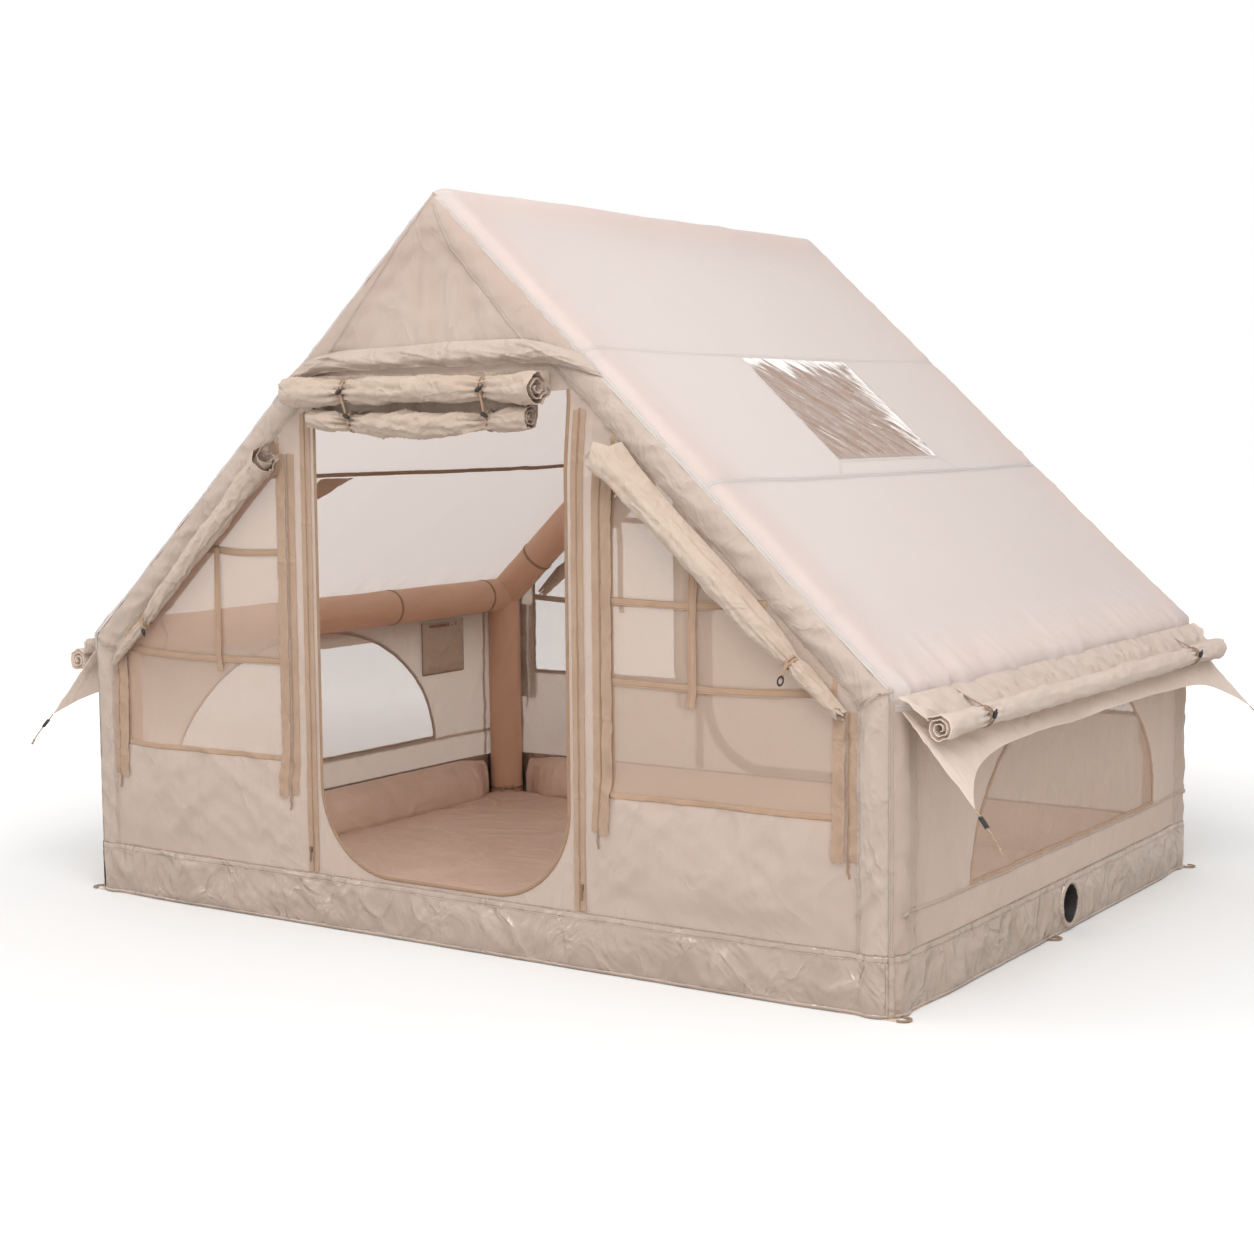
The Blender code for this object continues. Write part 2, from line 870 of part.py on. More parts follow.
# Side walls, each with an arched mesh window
side_wall_top = eave_height - side_wall_drop
side_window_sill = skirt_height + side_window_rise
side_window_height = side_wall_top - side_window_top_gap - side_window_sill


def arched_outline(side):
    points = []
    for step in range(2 * arc_steps + 1):
        turn = math.pi * step / (2 * arc_steps)
        x = side * side_window_centre + side_window_half_width * math.cos(turn)
        points.append((x, side_window_sill + side_window_height * math.sin(turn)))
    return points


side_cloth_run = half_depth - cloth - seam_gap
for face, side in (("left", -1), ("right", 1)):
    wall = panel(
        f"side_wall_{face}",
        rectangle(-side_cloth_run, side_cloth_run, skirt_height + half_gap, side_wall_top),
        wall_place(face),
        cloth,
        canvas,
        holes=[arched_outline(side)],
    )
    panel(
        f"side_window_{face}",
        inset(arched_outline(side), seam_gap),
        wall_place(face),
        film,
        insect_mesh,
    )
    if face == "left":
        corner = Matrix.Translation((-pocket_centre, eave_height - pocket_drop, 0))
        half = pocket_width / 2
        pocket = panel(
            "pocket",
            rectangle(-half, half, 0, pocket_height),
            wall_place(face, -cloth / 2) @ corner,
            pocket_depth + cloth / 2,
            canvas,
        )
        wall = boolean(wall, "UNION", pocket)
        inside = panel(
            "inside",
            rectangle(-half + cloth, half - cloth, cloth, pocket_height + cloth),
            wall_place(face, -cloth) @ corner,
            pocket_depth - cloth,
            canvas,
        )
        boolean(wall, "DIFFERENCE", inside)

# Roof slopes, the right one with its skylight
roof_run = half_depth + roof_overhang
outer_section = roof_section(0)
inner_section = roof_section(cloth)
outer_section[0] = (half_gap, outer_section[0][1])
inner_section[0] = (half_gap, inner_section[0][1])
roof_outline = inner_section + list(reversed(outer_section))
for face, side in (("right", 1), ("left", -1)):
    roof = panel(
        f"roof_{face}",
        sided(roof_outline, side),
        wall_place("front", roof_overhang),
        2 * roof_run,
        roof_cloth,
    )
    if face == "right":
        skylight_outline = rectangle(
            skylight_centre - skylight_half_length,
            skylight_centre + skylight_half_length,
            -skylight_bottom_run,
            -skylight_top_run,
        )
        hole = panel("hole", skylight_outline, slope_place(face, cloth), 3 * cloth, roof_cloth)
        boolean(roof, "DIFFERENCE", hole)
        panel(
            "skylight",
            inset(skylight_outline, seam_gap),
            slope_place(face, -film / 2),
            film,
            clear_film,
        )


# Rolled covers whose ends show the wound cloth, each table giving place and size shares
door_roll_shares = (
    (0.00, 0.94), (0.05, 0.98), (0.12, 0.92), (0.19, 0.80), (0.225, 0.68), (0.26, 0.80),
    (0.38, 0.94), (0.52, 0.90), (0.66, 0.92), (0.755, 0.80), (0.79, 0.68), (0.825, 0.82),
    (0.90, 0.96), (1.00, 1.00),
)
mesh_roll_shares = (
    (0.00, 0.80), (0.08, 0.95), (0.16, 0.85), (0.22, 0.70), (0.32, 0.85), (0.45, 1.00),
    (0.58, 0.95), (0.70, 0.85), (0.80, 0.70), (0.86, 0.80), (0.93, 0.95), (1.00, 0.80),
)
side_roll_shares = (
    (0.00, 1.00), (0.015, 0.98), (0.07, 0.90), (0.105, 0.80), (0.123, 0.68), (0.14, 0.80),
    (0.25, 0.88), (0.40, 0.82), (0.575, 0.88), (0.725, 0.84), (0.86, 0.80), (0.877, 0.68),
    (0.895, 0.80), (0.94, 0.92), (1.00, 1.00),
)


def wound_roll(name, stations, outward, start_deg, winds, tail, finish):
    """Cloth that comes down its tail and winds in round each station's centre and radius."""
    steps = round(roll_turns * steps_per_turn)
    shell = bmesh.new()
    rows = []
    least = math.inf
    for centre, radius in stations:
        core = roll_core_share * radius
        row = [shell.verts.new(place) for place in tail(centre, radius)]
        for step in range(steps + 1):
            turn = math.radians(start_deg) + winds * 2 * math.pi * roll_turns * step / steps
            reach = between(radius, core, step / steps)
            offset = outward * reach * math.cos(turn) + up * reach * math.sin(turn)
            row.append(shell.verts.new(centre + offset))
        wound = row[-steps - 1 :]
        pairs = zip(wound, wound[steps_per_turn:])
        least = min(least, *((outer.co - inner.co).length for outer, inner in pairs))
        rows.append(row)
    for row, following in zip(rows, rows[1:]):
        for i in range(len(row) - 1):
            shell.faces.new((row[i], row[i + 1], following[i + 1], following[i]))
    print(f"{name}: least gap between turns {(least - roll_cloth) * 1000:.1f} mm")
    return solidify(mesh_object(name, shell, finish), roll_cloth, 0)


def front_roll(name, shares, left, right, height, sag, radius, seat, finish):
    """Roll tied up against the front wall, its back and its tail lying at the seat."""
    stations = []
    for share, size in shares:
        drop = sag * (1 - (2 * share - 1) ** 2)
        reach = radius * size
        centre = Vector((between(left, right, share), -seat - reach, height - drop))
        stations.append((centre, reach))

    def tail(centre, reach):
        return [Vector((centre.x, -seat, gable_base_height - roll_tail_gap))]

    wound_roll(name, stations, Vector((0, -1, 0)), 180, 1, tail, finish)


# The mesh door hangs against the wall and the fabric door hangs over it
mesh_seat = half_depth + seam_gap + roll_cloth / 2
door_seat = mesh_seat + roll_cloth + seam_gap
front_roll(
    "mesh_door_roll",
    mesh_roll_shares,
    mesh_roll_left_gap - door_half_width,
    door_half_width - mesh_roll_right_gap,
    gable_base_height - mesh_roll_drop,
    mesh_roll_sag,
    mesh_roll_radius,
    mesh_seat,
    insect_mesh,
)
front_roll(
    "door_roll",
    door_roll_shares,
    -door_half_width - door_roll_left_reach,
    door_half_width - door_roll_right_gap,
    gable_base_height - door_roll_drop,
    0,
    door_roll_radius,
    door_seat,
    canvas,
)

# The side window covers hang from the roof's hem and bow out over their rolls
side_seat = half_width + seam_gap + roll_cloth / 2
side_tail_top = eave_height - side_tail_drop
side_roll_run = half_depth - side_roll_end_gap
for face, side in (("left", -1), ("right", 1)):
    stations = []
    for share, size in side_roll_shares:
        y = between(-side_roll_run, side_roll_run, share)
        place = (side * (half_width + side_roll_reach), y, eave_height - side_roll_drop)
        centre = Vector(place)
        stations.append((centre, side_roll_radius * size))

    def side_tail(centre, radius, side=side):
        return [
            Vector((side * side_seat, centre.y, side_tail_top)),
            Vector((side * side_seat, centre.y, side_tail_top - side_tail_bend)),
            Vector(((side * side_seat + centre.x) / 2, centre.y, centre.z + radius)),
        ]

    wound_roll(f"side_roll_{face}", stations, Vector((side, 0, 0)), 90, -1, side_tail, canvas)


# Awnings: one sheet each, cut in a curve between the guyed tips, with its pulled folds
awning_lean = math.radians(awning_lean_deg)
awning_root_x = half_width + awning_root_clearance
awning_out = Vector((math.sin(awning_lean), 0, -math.cos(awning_lean)))
awning_lift = Vector((math.cos(awning_lean), 0, math.sin(awning_lean)))


awning_waves = ((9.5, 0.0, 0.6), (17.0, 1.2, 0.4))  # waves along it: rate, start and share


def awning_point(along, across):
    """Place on the right awning: along -1 to 1 from front to rear, across 0 to 1 outwards."""
    drop = between(awning_mid_drop, awning_tip_drop, abs(along) ** 7) * across
    y = along * (half_depth - awning_end_gap + awning_tip_flare * across)
    wave = sum(share * math.sin(along * rate + start) for rate, start, share in awning_waves)
    fold = awning_fold * wave * across * (1 - abs(along) ** 6)
    fold += awning_hollow * math.sin(math.pi * across) * (1 - abs(along) ** 4)
    root = Vector((awning_root_x, y, eave_seam_height))
    return root + awning_out * drop + awning_lift * fold


def awning(name, side):
    shell = bmesh.new()
    bmesh.ops.create_grid(shell, x_segments=30, y_segments=6, size=1)
    for vert in shell.verts:
        place = awning_point(vert.co.x, (vert.co.y + 1) / 2)
        vert.co = (side * place.x, place.y, place.z)
    return solidify(mesh_object(name, shell, roof_cloth, smooth_deg=80), cloth, 0)


# Guy cords: the route of the front right one, counted from its awning's tip
guy_route = [
    (0.0004, -0.0001, -0.0004),
    (0.0076, -0.0019, -0.0084),
    (0.0148, -0.0037, -0.0164),
    (0.0220, -0.0055, -0.0244),
    (0.0292, -0.0073, -0.0324),
    (0.0364, -0.0091, -0.0404),
    (0.0436, -0.0109, -0.0484),
    (0.0508, -0.0127, -0.0564),
    (0.0578, -0.0144, -0.0646),
    (0.0645, -0.0160, -0.0730),
    (0.0708, -0.0175, -0.0816),
    (0.0766, -0.0189, -0.0904),
]


def guy_points(side, end_side):
    tip = awning_point(-1, 1)
    route = [tip + Vector(step) for step in guy_route]
    return [Vector((side * x, -end_side * y, z)) for x, y, z in route]


def guy_cord(name, side, end_side):
    path = bpy.data.curves.new(name, "CURVE")
    path.dimensions = "3D"
    path.bevel_depth = guy_diameter / 2
    path.bevel_resolution = bevel_steps - 1
    path.use_fill_caps = True
    spline = path.splines.new("POLY")
    points = guy_points(side, end_side)
    spline.points.add(len(points) - 1)
    for point, place in zip(spline.points, points):
        point.co = (*place, 1)
    return adopt(bpy.data.objects.new(name, path), webbing)


def guy_runner(name, side, end_side):
    """Slim bar that grips the cord, with the bore that the cord runs through."""
    points = guy_points(side, end_side)
    way = (points[6] - points[0]).normalized()
    centre = points[0] + way * runner_place
    place = Matrix.Translation(centre) @ way.to_track_quat("Z", "Y").to_matrix().to_4x4()
    return panel(
        name,
        rectangle(
            -runner_width / 2, runner_width / 2, -runner_thickness / 2, runner_thickness / 2
        ),
        place @ Matrix.Translation((0, 0, runner_length / 2)),
        runner_length,
        black_plastic,
        holes=[circle(0, 0, guy_diameter / 2 + runner_clearance, steps=12)],
    )


for side_name, side in (("left", -1), ("right", 1)):
    swinging = [awning(f"awning_{side_name}", side)]
    for end_name, end_side in (("front", -1), ("rear", 1)):
        swinging.append(guy_cord(f"guy_cord_{end_name}_{side_name}", side, end_side))
        swinging.append(guy_runner(f"guy_runner_{end_name}_{side_name}", side, end_side))
    seam = Vector((side * awning_root_x, 0, eave_seam_height))
    hang(f"awning_seam_{side_name}", seam, *swinging)


# Zip sliders, each with its pull tab hanging in front
def zip_slider(name, face, x, height, lift):
    foot = wall_place(face, lift) @ Matrix.Translation((x, height, slider_depth))
    half = slider_width / 2
    body = panel(name, rectangle(-half, half, 0, slider_length), foot, slider_depth, zip_metal)
    pull = panel(
        "pull",
        rectangle(-pull_width / 2, pull_width / 2, -pull_length, slider_length / 2),
        foot @ Matrix.Translation((0, 0, pull_thickness / 2)),
        pull_thickness,
        zip_metal,
    )
    return boolean(body, "UNION", pull)


zip_lift = strip_proud + seam_gap
zip_centre = door_zip_place + zip_tape_width / 2
window_zip_centre = window_inner_edge - placket_width - slider_width / 2 - 2 * seam_gap
for side_name, side in (("left", -1), ("right", 1)):
    zip_slider(
        f"door_zip_slider_{side_name}",
        "front",
        side * zip_centre,
        door_slider_height,
        zip_lift,
    )
    zip_slider(
        f"window_zip_slider_{side_name}",
        "front",
        side * window_zip_centre,
        window_slider_height,
        seam_gap,
    )
zip_slider("rear_zip_slider", "rear", door_half_width - slider_width, rear_slider_height, seam_gap)
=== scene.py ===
import math

import bpy
import numpy as np
from mathutils import Matrix, Vector


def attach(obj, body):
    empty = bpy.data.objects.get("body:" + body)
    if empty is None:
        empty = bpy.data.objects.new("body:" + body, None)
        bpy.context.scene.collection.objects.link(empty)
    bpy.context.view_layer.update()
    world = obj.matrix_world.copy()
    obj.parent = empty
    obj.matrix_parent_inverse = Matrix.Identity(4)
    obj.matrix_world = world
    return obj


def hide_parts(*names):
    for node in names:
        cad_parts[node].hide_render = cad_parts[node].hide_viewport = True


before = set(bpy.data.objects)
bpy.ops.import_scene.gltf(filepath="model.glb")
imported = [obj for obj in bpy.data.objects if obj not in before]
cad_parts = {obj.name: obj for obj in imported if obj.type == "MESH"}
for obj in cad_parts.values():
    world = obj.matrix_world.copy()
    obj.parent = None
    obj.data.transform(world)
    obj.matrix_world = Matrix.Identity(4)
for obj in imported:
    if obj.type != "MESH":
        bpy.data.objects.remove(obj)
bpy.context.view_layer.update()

# The tent's own measures, metres, as the frame has them
tent = {
    "halfWidth": 1.5,
    "wallOut": 1.14,
    "sideOut": 1.4977,
    "pitch": 0.744841,
    "apex": 2.258009,
    "ridge": 2.24,
    "ridgeRound": 0.05,
    "hem": 0.81,
    "skirtTop": 0.17,
    "sleeve": 0.12,
    "corner": 1.375,
    "gableBase": 1.710,
    "doorTop": 1.640,
    "doorHalf": 0.465,
    "doorZip": 0.505,
    "doorSill": 0.187,
    "doorRound": 0.27,
    "windowIn": 0.62,
    "windowOut": 1.31,
    "windowSill": 0.52,
    "tubeX": 1.4254,
    "tubeY": 1.0677,
    "roofEnd": 1.152,
}
tanPitch, sinPitch, cosPitch = (f(tent["pitch"]) for f in (math.tan, math.sin, math.cos))
skirtTop = tent["skirtTop"]
bothSides = ((1, "Right"), (-1, "Left"))


# small tools
def only(*pieces):
    bpy.ops.object.select_all(action="DESELECT")
    for piece in pieces:
        piece.select_set(True)
    bpy.context.view_layer.objects.active = pieces[0]


def readPoints(piece):
    flat = np.empty(len(piece.data.vertices) * 3, np.float32)
    piece.data.vertices.foreach_get("co", flat)
    return flat.reshape(-1, 3).astype(float)


def writePoints(piece, places):
    piece.data.vertices.foreach_set("co", np.asarray(places, np.float32).ravel())
    piece.data.update()


# the cloth's own flat place, in metres, becomes its UV map
def writeFlat(piece, along, across):
    mesh = piece.data
    flat = np.stack([along, across], 1)
    layer = mesh.uv_layers.active or mesh.uv_layers.new(name="flat")
    layer.name = "flat"
    index = np.empty(len(mesh.loops), np.int32)
    mesh.loops.foreach_get("vertex_index", index)
    layer.data.foreach_set("uv", np.asarray(flat[index], np.float32).ravel())


def addGrid(name, columns, rows):
    bpy.ops.object.select_all(action="DESELECT")
    bpy.ops.mesh.primitive_grid_add(x_subdivisions=columns, y_subdivisions=rows, size=1)
    piece = bpy.context.active_object
    piece.name = piece.data.name = name
    return piece


def applied(piece, kind, **settings):
    modifier = piece.modifiers.new(kind.title(), kind)
    for key, value in settings.items():
        setattr(modifier, key, value)
    only(piece)
    bpy.ops.object.modifier_apply(modifier=modifier.name)
    return piece


def thickened(piece, thick):
    return applied(piece, "SOLIDIFY", thickness=thick, offset=0)


# a sheet's flat place, its place in space, and then its thickness
def sewn(piece, along, across, places, thick):
    writeFlat(piece, along, across)
    writePoints(piece, places)
    return thickened(piece, thick)


def turnOut(piece):
    only(piece)
    bpy.ops.object.mode_set(mode="EDIT")
    bpy.ops.mesh.select_all(action="SELECT")
    bpy.ops.mesh.normals_make_consistent(inside=False)
    bpy.ops.object.mode_set(mode="OBJECT")


# upright cutter on a flat outline, from -reach to reach
def prism(outline, reach):
    bpy.ops.object.select_all(action="DESELECT")
    bpy.ops.mesh.primitive_circle_add(vertices=len(outline), radius=1, fill_type="NGON")
    tool = bpy.context.active_object
    writePoints(tool, [(x, y, -reach) for x, y in outline])
    bpy.ops.object.mode_set(mode="EDIT")
    bpy.ops.mesh.select_all(action="SELECT")
    bpy.ops.mesh.extrude_region_move(TRANSFORM_OT_translate={"value": (0, 0, 2 * reach)})
    bpy.ops.object.mode_set(mode="OBJECT")
    turnOut(tool)
    return tool


def cut(piece, operation, outline, reach=0.05):
    tool = prism(outline, reach)
    applied(piece, "BOOLEAN", operation=operation, object=tool, solver="MANIFOLD")
    bpy.data.objects.remove(tool)


def dress(piece, finish, body="tent", nodes=(), angle=55):
    piece.data.materials.clear()
    piece.data.materials.append(finish)
    only(piece)
    bpy.ops.object.shade_smooth_by_angle(angle=math.radians(angle))
    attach(piece, body)
    if nodes:
        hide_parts(*nodes)
    return piece


def joined(name, pieces):
    only(*pieces)
    if len(pieces) > 1:
        bpy.ops.object.join()
    piece = bpy.context.active_object
    piece.name = piece.data.name = name
    return piece


def eased(value, low, high):
    share = np.clip((np.asarray(value, float) - low) / (high - low), 0, 1)
    return share * share * (3 - 2 * share)


# fixed scatter of numbers from 0 to 1 on whole places
def lattice(column, row, seed):
    mixed = (column * 374761393 + row * 668265263 + seed * 974634777) & 0xFFFFFFFF
    mixed = ((mixed ^ (mixed >> 13)) * 1274126177) & 0xFFFFFFFF
    mixed = ((mixed ^ (mixed >> 16)) * 2246822519) & 0xFFFFFFFF
    return (mixed ^ (mixed >> 15)) / 0xFFFFFFFF


# smooth noise from 0 to 1, one swell to a unit
def drift(u, v, seed):
    u, v = np.asarray(u, float), np.asarray(v, float)
    column, row = np.floor(u).astype(np.int64), np.floor(v).astype(np.int64)
    a, b = u - column, v - row
    a, b = a * a * a * (a * (a * 6 - 15) + 10), b * b * b * (b * (b * 6 - 15) + 10)
    low = lattice(column, row, seed) * (1 - a) + lattice(column + 1, row, seed) * a
    high = lattice(column, row + 1, seed) * (1 - a) + lattice(column + 1, row + 1, seed) * a
    return low * (1 - b) + high * b


# cloth creases: sharp crests between soft hollows, about -1 to 1
def creased(u, v, seed, octaves=3):
    total, weight, size = 0.0, 0.0, 1.0
    for octave in range(octaves):
        bendU = drift(u * size * 0.7 + 5, v * size * 0.7, seed + 40 + octave) - 0.5
        bendV = drift(u * size * 0.7, v * size * 0.7 + 9, seed + 60 + octave) - 0.5
        ridge = 1 - np.abs(2 * drift(u * size + bendU, v * size + bendV, seed + octave) - 1)
        total = total + (2 * ridge**2 - 0.8) / size
        weight += 1 / size
        size *= 2.1
    return total / weight


# flat place in a frame turned by degrees and counted in the two wave lengths
def turned(u, v, degrees, stretchU, stretchV):
    c, s = math.cos(math.radians(degrees)), math.sin(math.radians(degrees))
    return (u * c + v * s) / stretchU, (v * c - u * s) / stretchV


# merges a wrapped grid's long edges, closes its ends and turns its faces outwards
def closeTube(piece, ends=True):
    only(piece)
    bpy.ops.object.mode_set(mode="EDIT")
    bpy.ops.mesh.select_all(action="SELECT")
    bpy.ops.mesh.remove_doubles(threshold=0.00002)
    if ends:
        bpy.ops.mesh.select_all(action="DESELECT")
        bpy.ops.mesh.select_non_manifold(extend=False, use_wire=False, use_boundary=True,
                                         use_multi_face=False, use_non_contiguous=False,
                                         use_verts=False)
        bpy.ops.mesh.fill_holes(sides=0)
    bpy.ops.object.mode_set(mode="OBJECT")
    turnOut(piece)


# whole steps along and across a new grid
def gridSteps(piece, columns, rows):
    spots = readPoints(piece)
    return (np.rint((spots[:, 0] + 0.5) * columns).astype(int),
            np.rint((spots[:, 1] + 0.5) * rows).astype(int))


# a turned shape from (along, radius) pairs; swell changes its radius round and along it
def revolved(name, profile, centre, axis, sides=40, swell=None, ends=True):
    axis = Vector(axis).normalized()
    first = axis.orthogonal().normalized()
    piece = addGrid(name, len(profile) - 1, sides)
    column, row = gridSteps(piece, len(profile) - 1, sides)
    along, radius = np.array(profile, float)[column].T
    turn = (row % sides) / sides * 2 * math.pi
    if swell:
        radius = radius * swell(turn, along)
    writeFlat(piece, row / sides * 2 * math.pi * np.max(radius), along)
    writePoints(piece, np.array(centre) + np.outer(along, axis) + np.outer(
        radius * np.cos(turn), first) + np.outer(radius * np.sin(turn), axis.cross(first)))
    closeTube(piece, ends)
    return piece


# a flat band along a path in space; normal is the way it faces
def ribbon(path, normal, half, thick, columns=40, frill=0.0):
    path = np.array(path, float)
    walked = np.concatenate([[0], np.cumsum(np.linalg.norm(np.diff(path, axis=0), axis=1))])
    at = np.linspace(0, walked[-1], columns + 1)
    spots = np.stack([np.interp(at, walked, path[:, i]) for i in range(3)], 1)
    across = np.cross(np.gradient(spots, axis=0), np.array(normal, float))
    across = across / np.linalg.norm(across, axis=1)[:, None]
    piece = addGrid("ribbon", columns, 4)
    column, row = gridSteps(piece, columns, 4)
    side = row / 2 - 1
    lift = frill * creased(at[column] / 0.02, side * 0.7 + 3, 77, 2)
    places = spots[column] + across[column] * (side * half)[:, None]
    places = places + np.outer(lift, np.array(normal, float))
    return sewn(piece, at[column], side * half, places, thick)


# camera, at the photograph's angle
view = {
    "place": (3.878, -5.932, 1.555),
    "azimuth": 33.78,
    "elevation": 5.56,
    "roll": -0.50,
    "lens": 60.086,
}


def addCamera():
    az, el, roll = (math.radians(view[key]) for key in ("azimuth", "elevation", "roll"))
    back = Vector((math.sin(az) * math.cos(el), -math.cos(az) * math.cos(el), math.sin(el)))
    right = Vector((math.cos(az), math.sin(az), 0))
    up = back.cross(right)
    side = right * math.cos(roll) + up * math.sin(roll)
    top = up * math.cos(roll) - right * math.sin(roll)
    data = bpy.data.cameras.new("photoCamera")
    data.lens = view["lens"]
    data.sensor_width = 36
    data.clip_end = 200
    camera = bpy.data.objects.new("photoCamera", data)
    bpy.context.scene.collection.objects.link(camera)
    turn = Matrix((side, top, back)).transposed().to_4x4()
    camera.matrix_world = Matrix.Translation(view["place"]) @ turn
    bpy.context.scene.camera = camera


addCamera()
print("camera set")


# finishes
def linear(red, green, blue):
    return tuple((c / 255 / 12.92 if c <= 10 else ((c / 255 + 0.055) / 1.055) ** 2.4)
                 for c in (red, green, blue)) + (1.0,)


def wire(tree, kind, inputs=None, **settings):
    node = tree.nodes.new("ShaderNode" + kind)
    for key, value in settings.items():
        setattr(node, key, value)
    for socket, source in (inputs or {}).items():
        if isinstance(source, bpy.types.NodeSocket):
            tree.links.new(source, node.inputs[socket])
        else:
            node.inputs[socket].default_value = source
    return node


def math2(tree, operation, first, second=0.5, third=0.5):
    return wire(tree, "Math", {0: first, 1: second, 2: third}, operation=operation).outputs[0]


def ranged(tree, value, low, high, bottom=0.0, top=1.0, **settings):
    return wire(tree, "MapRange", {
        "Value": value, "From Min": low, "From Max": high, "To Min": bottom, "To Max": top},
        **settings).outputs[0]


def noise(tree, place, scale, detail, **more):
    return wire(tree, "TexNoise", {
        "Vector": place, "Scale": scale, "Detail": detail, **more}).outputs


# waves along X and along Y, as the two ways of a weave
def threadWaves(tree, place, scale, **more):
    return [wire(tree, "TexWave", {"Vector": place, "Scale": scale, **more},
                 bands_direction=way).outputs["Fac"] for way in ("X", "Y")]


def colourMix(tree, share, first, second):
    return wire(tree, "Mix", {"Factor": share, 6: first, 7: second}, data_type="RGBA").outputs[2]


def bumpFrom(tree, height, distance=1.0):
    return wire(tree, "Bump", {
        "Strength": 1.0, "Distance": distance, "Height": height}).outputs[0]


def newGroup(name, numbers, outputs):
    tree = bpy.data.node_groups.new(name, "ShaderNodeTree")
    tree.interface.new_socket("Place", in_out="INPUT", socket_type="NodeSocketVector")
    for labels, way in ((numbers, "INPUT"), (outputs, "OUTPUT")):
        for label in labels:
            tree.interface.new_socket(label, in_out=way, socket_type="NodeSocketFloat")
    return tree, tree.nodes.new("NodeGroupInput").outputs, tree.nodes.new("NodeGroupOutput").inputs


reliefLook = {"sharp": 3.0, "fine": 4.3, "fineShare": 0.28, "packedShare": 0.42, "packed": 0.09,
              "patch": 0.6, "shown": (0.46, 0.62), "tint": 2.2}


# creases and weave of any cloth, in metres of height, with a random tone and a painted-shade mask
# for the crease hollows
def creaseGroup():
    tree, given, out = newGroup(
        "clothRelief", ("CreaseScale", "CreaseDepth", "WeaveScale", "WeaveDepth"),
        ("Height", "Tint", "Hollow"))
    place, scale = given["Place"], given["CreaseScale"]
    soft = noise(tree, place, scale, 3.0, Roughness=0.5, Distortion=0.7)["Fac"]
    ridge = math2(tree, "ABSOLUTE", math2(tree, "MULTIPLY_ADD", soft, 2.0, -1.0))
    crest = math2(tree, "POWER", math2(tree, "SUBTRACT", 1.0, ridge), reliefLook["sharp"])
    finer = math2(tree, "MULTIPLY", scale, reliefLook["fine"])
    fine = noise(tree, place, finer, 2.0, Distortion=0.4)["Fac"]
    both = math2(tree, "MULTIPLY_ADD", fine, reliefLook["fineShare"], crest)
    pushed = wire(tree, "VectorMath", {
        0: noise(tree, place, scale, 1.0)["Color"], 1: (0.06, 0.06, 0.0), 2: place},
        operation="MULTIPLY_ADD").outputs[0]
    cells = wire(tree, "TexVoronoi", {
        "Vector": pushed, "Scale": scale}, feature="DISTANCE_TO_EDGE").outputs["Distance"]
    line = ranged(tree, cells, reliefLook["packed"], 0.0, interpolation_type="SMOOTHSTEP")
    wider = math2(tree, "MULTIPLY", scale, reliefLook["patch"])
    shown = ranged(tree, noise(tree, place, wider, 1.0)["Fac"], *reliefLook["shown"])
    packed = math2(tree, "MULTIPLY", line, shown)
    both = math2(tree, "MULTIPLY_ADD", packed, reliefLook["packedShare"], both)
    folds = math2(tree, "MULTIPLY", both, given["CreaseDepth"])
    bands = threadWaves(tree, place, given["WeaveScale"], **{
        "Distortion": 0.6, "Detail": 1.0, "Detail Scale": 2.0})
    threads = math2(tree, "MULTIPLY", math2(tree, "MAXIMUM", *bands), given["WeaveDepth"])
    tree.links.new(math2(tree, "ADD", folds, threads), out["Height"])
    broad = noise(tree, place, reliefLook["tint"], 4.0, Roughness=0.6)["Fac"]
    tree.links.new(broad, out["Tint"])
    # painted shade: the crease hollows, where shade falls, are put out here to darken the cloth's
    # colour
    tree.links.new(math2(tree, "SUBTRACT", 1.0, crest), out["Hollow"])
    return tree


# rows of stitches that run along a strip: U is along it, V across from its middle, metres
def stitchGroup():
    tree, given, out = newGroup(
        "stitchRows", ("RowPlace", "StitchLength", "ThreadWidth"), ("Thread", "Groove"))
    parts = wire(tree, "SeparateXYZ", {0: given["Place"]}).outputs
    width = given["ThreadWidth"]
    off = math2(tree, "SUBTRACT", math2(tree, "ABSOLUTE", parts["Y"]), given["RowPlace"])
    off = math2(tree, "ABSOLUTE", off)
    near = ranged(tree, off, width, 0.0)
    beat = math2(tree, "FRACT", math2(tree, "DIVIDE", parts["X"], given["StitchLength"]))
    onThread = math2(tree, "GREATER_THAN", beat, 0.3)
    tree.links.new(math2(tree, "MULTIPLY", near, onThread), out["Thread"])
    groove = ranged(tree, off, math2(tree, "MULTIPLY", width, 3.0), 0.0,
                    interpolation_type="SMOOTHSTEP")
    tree.links.new(groove, out["Groove"])
    return tree


clothRelief = creaseGroup()
stitchRows = stitchGroup()
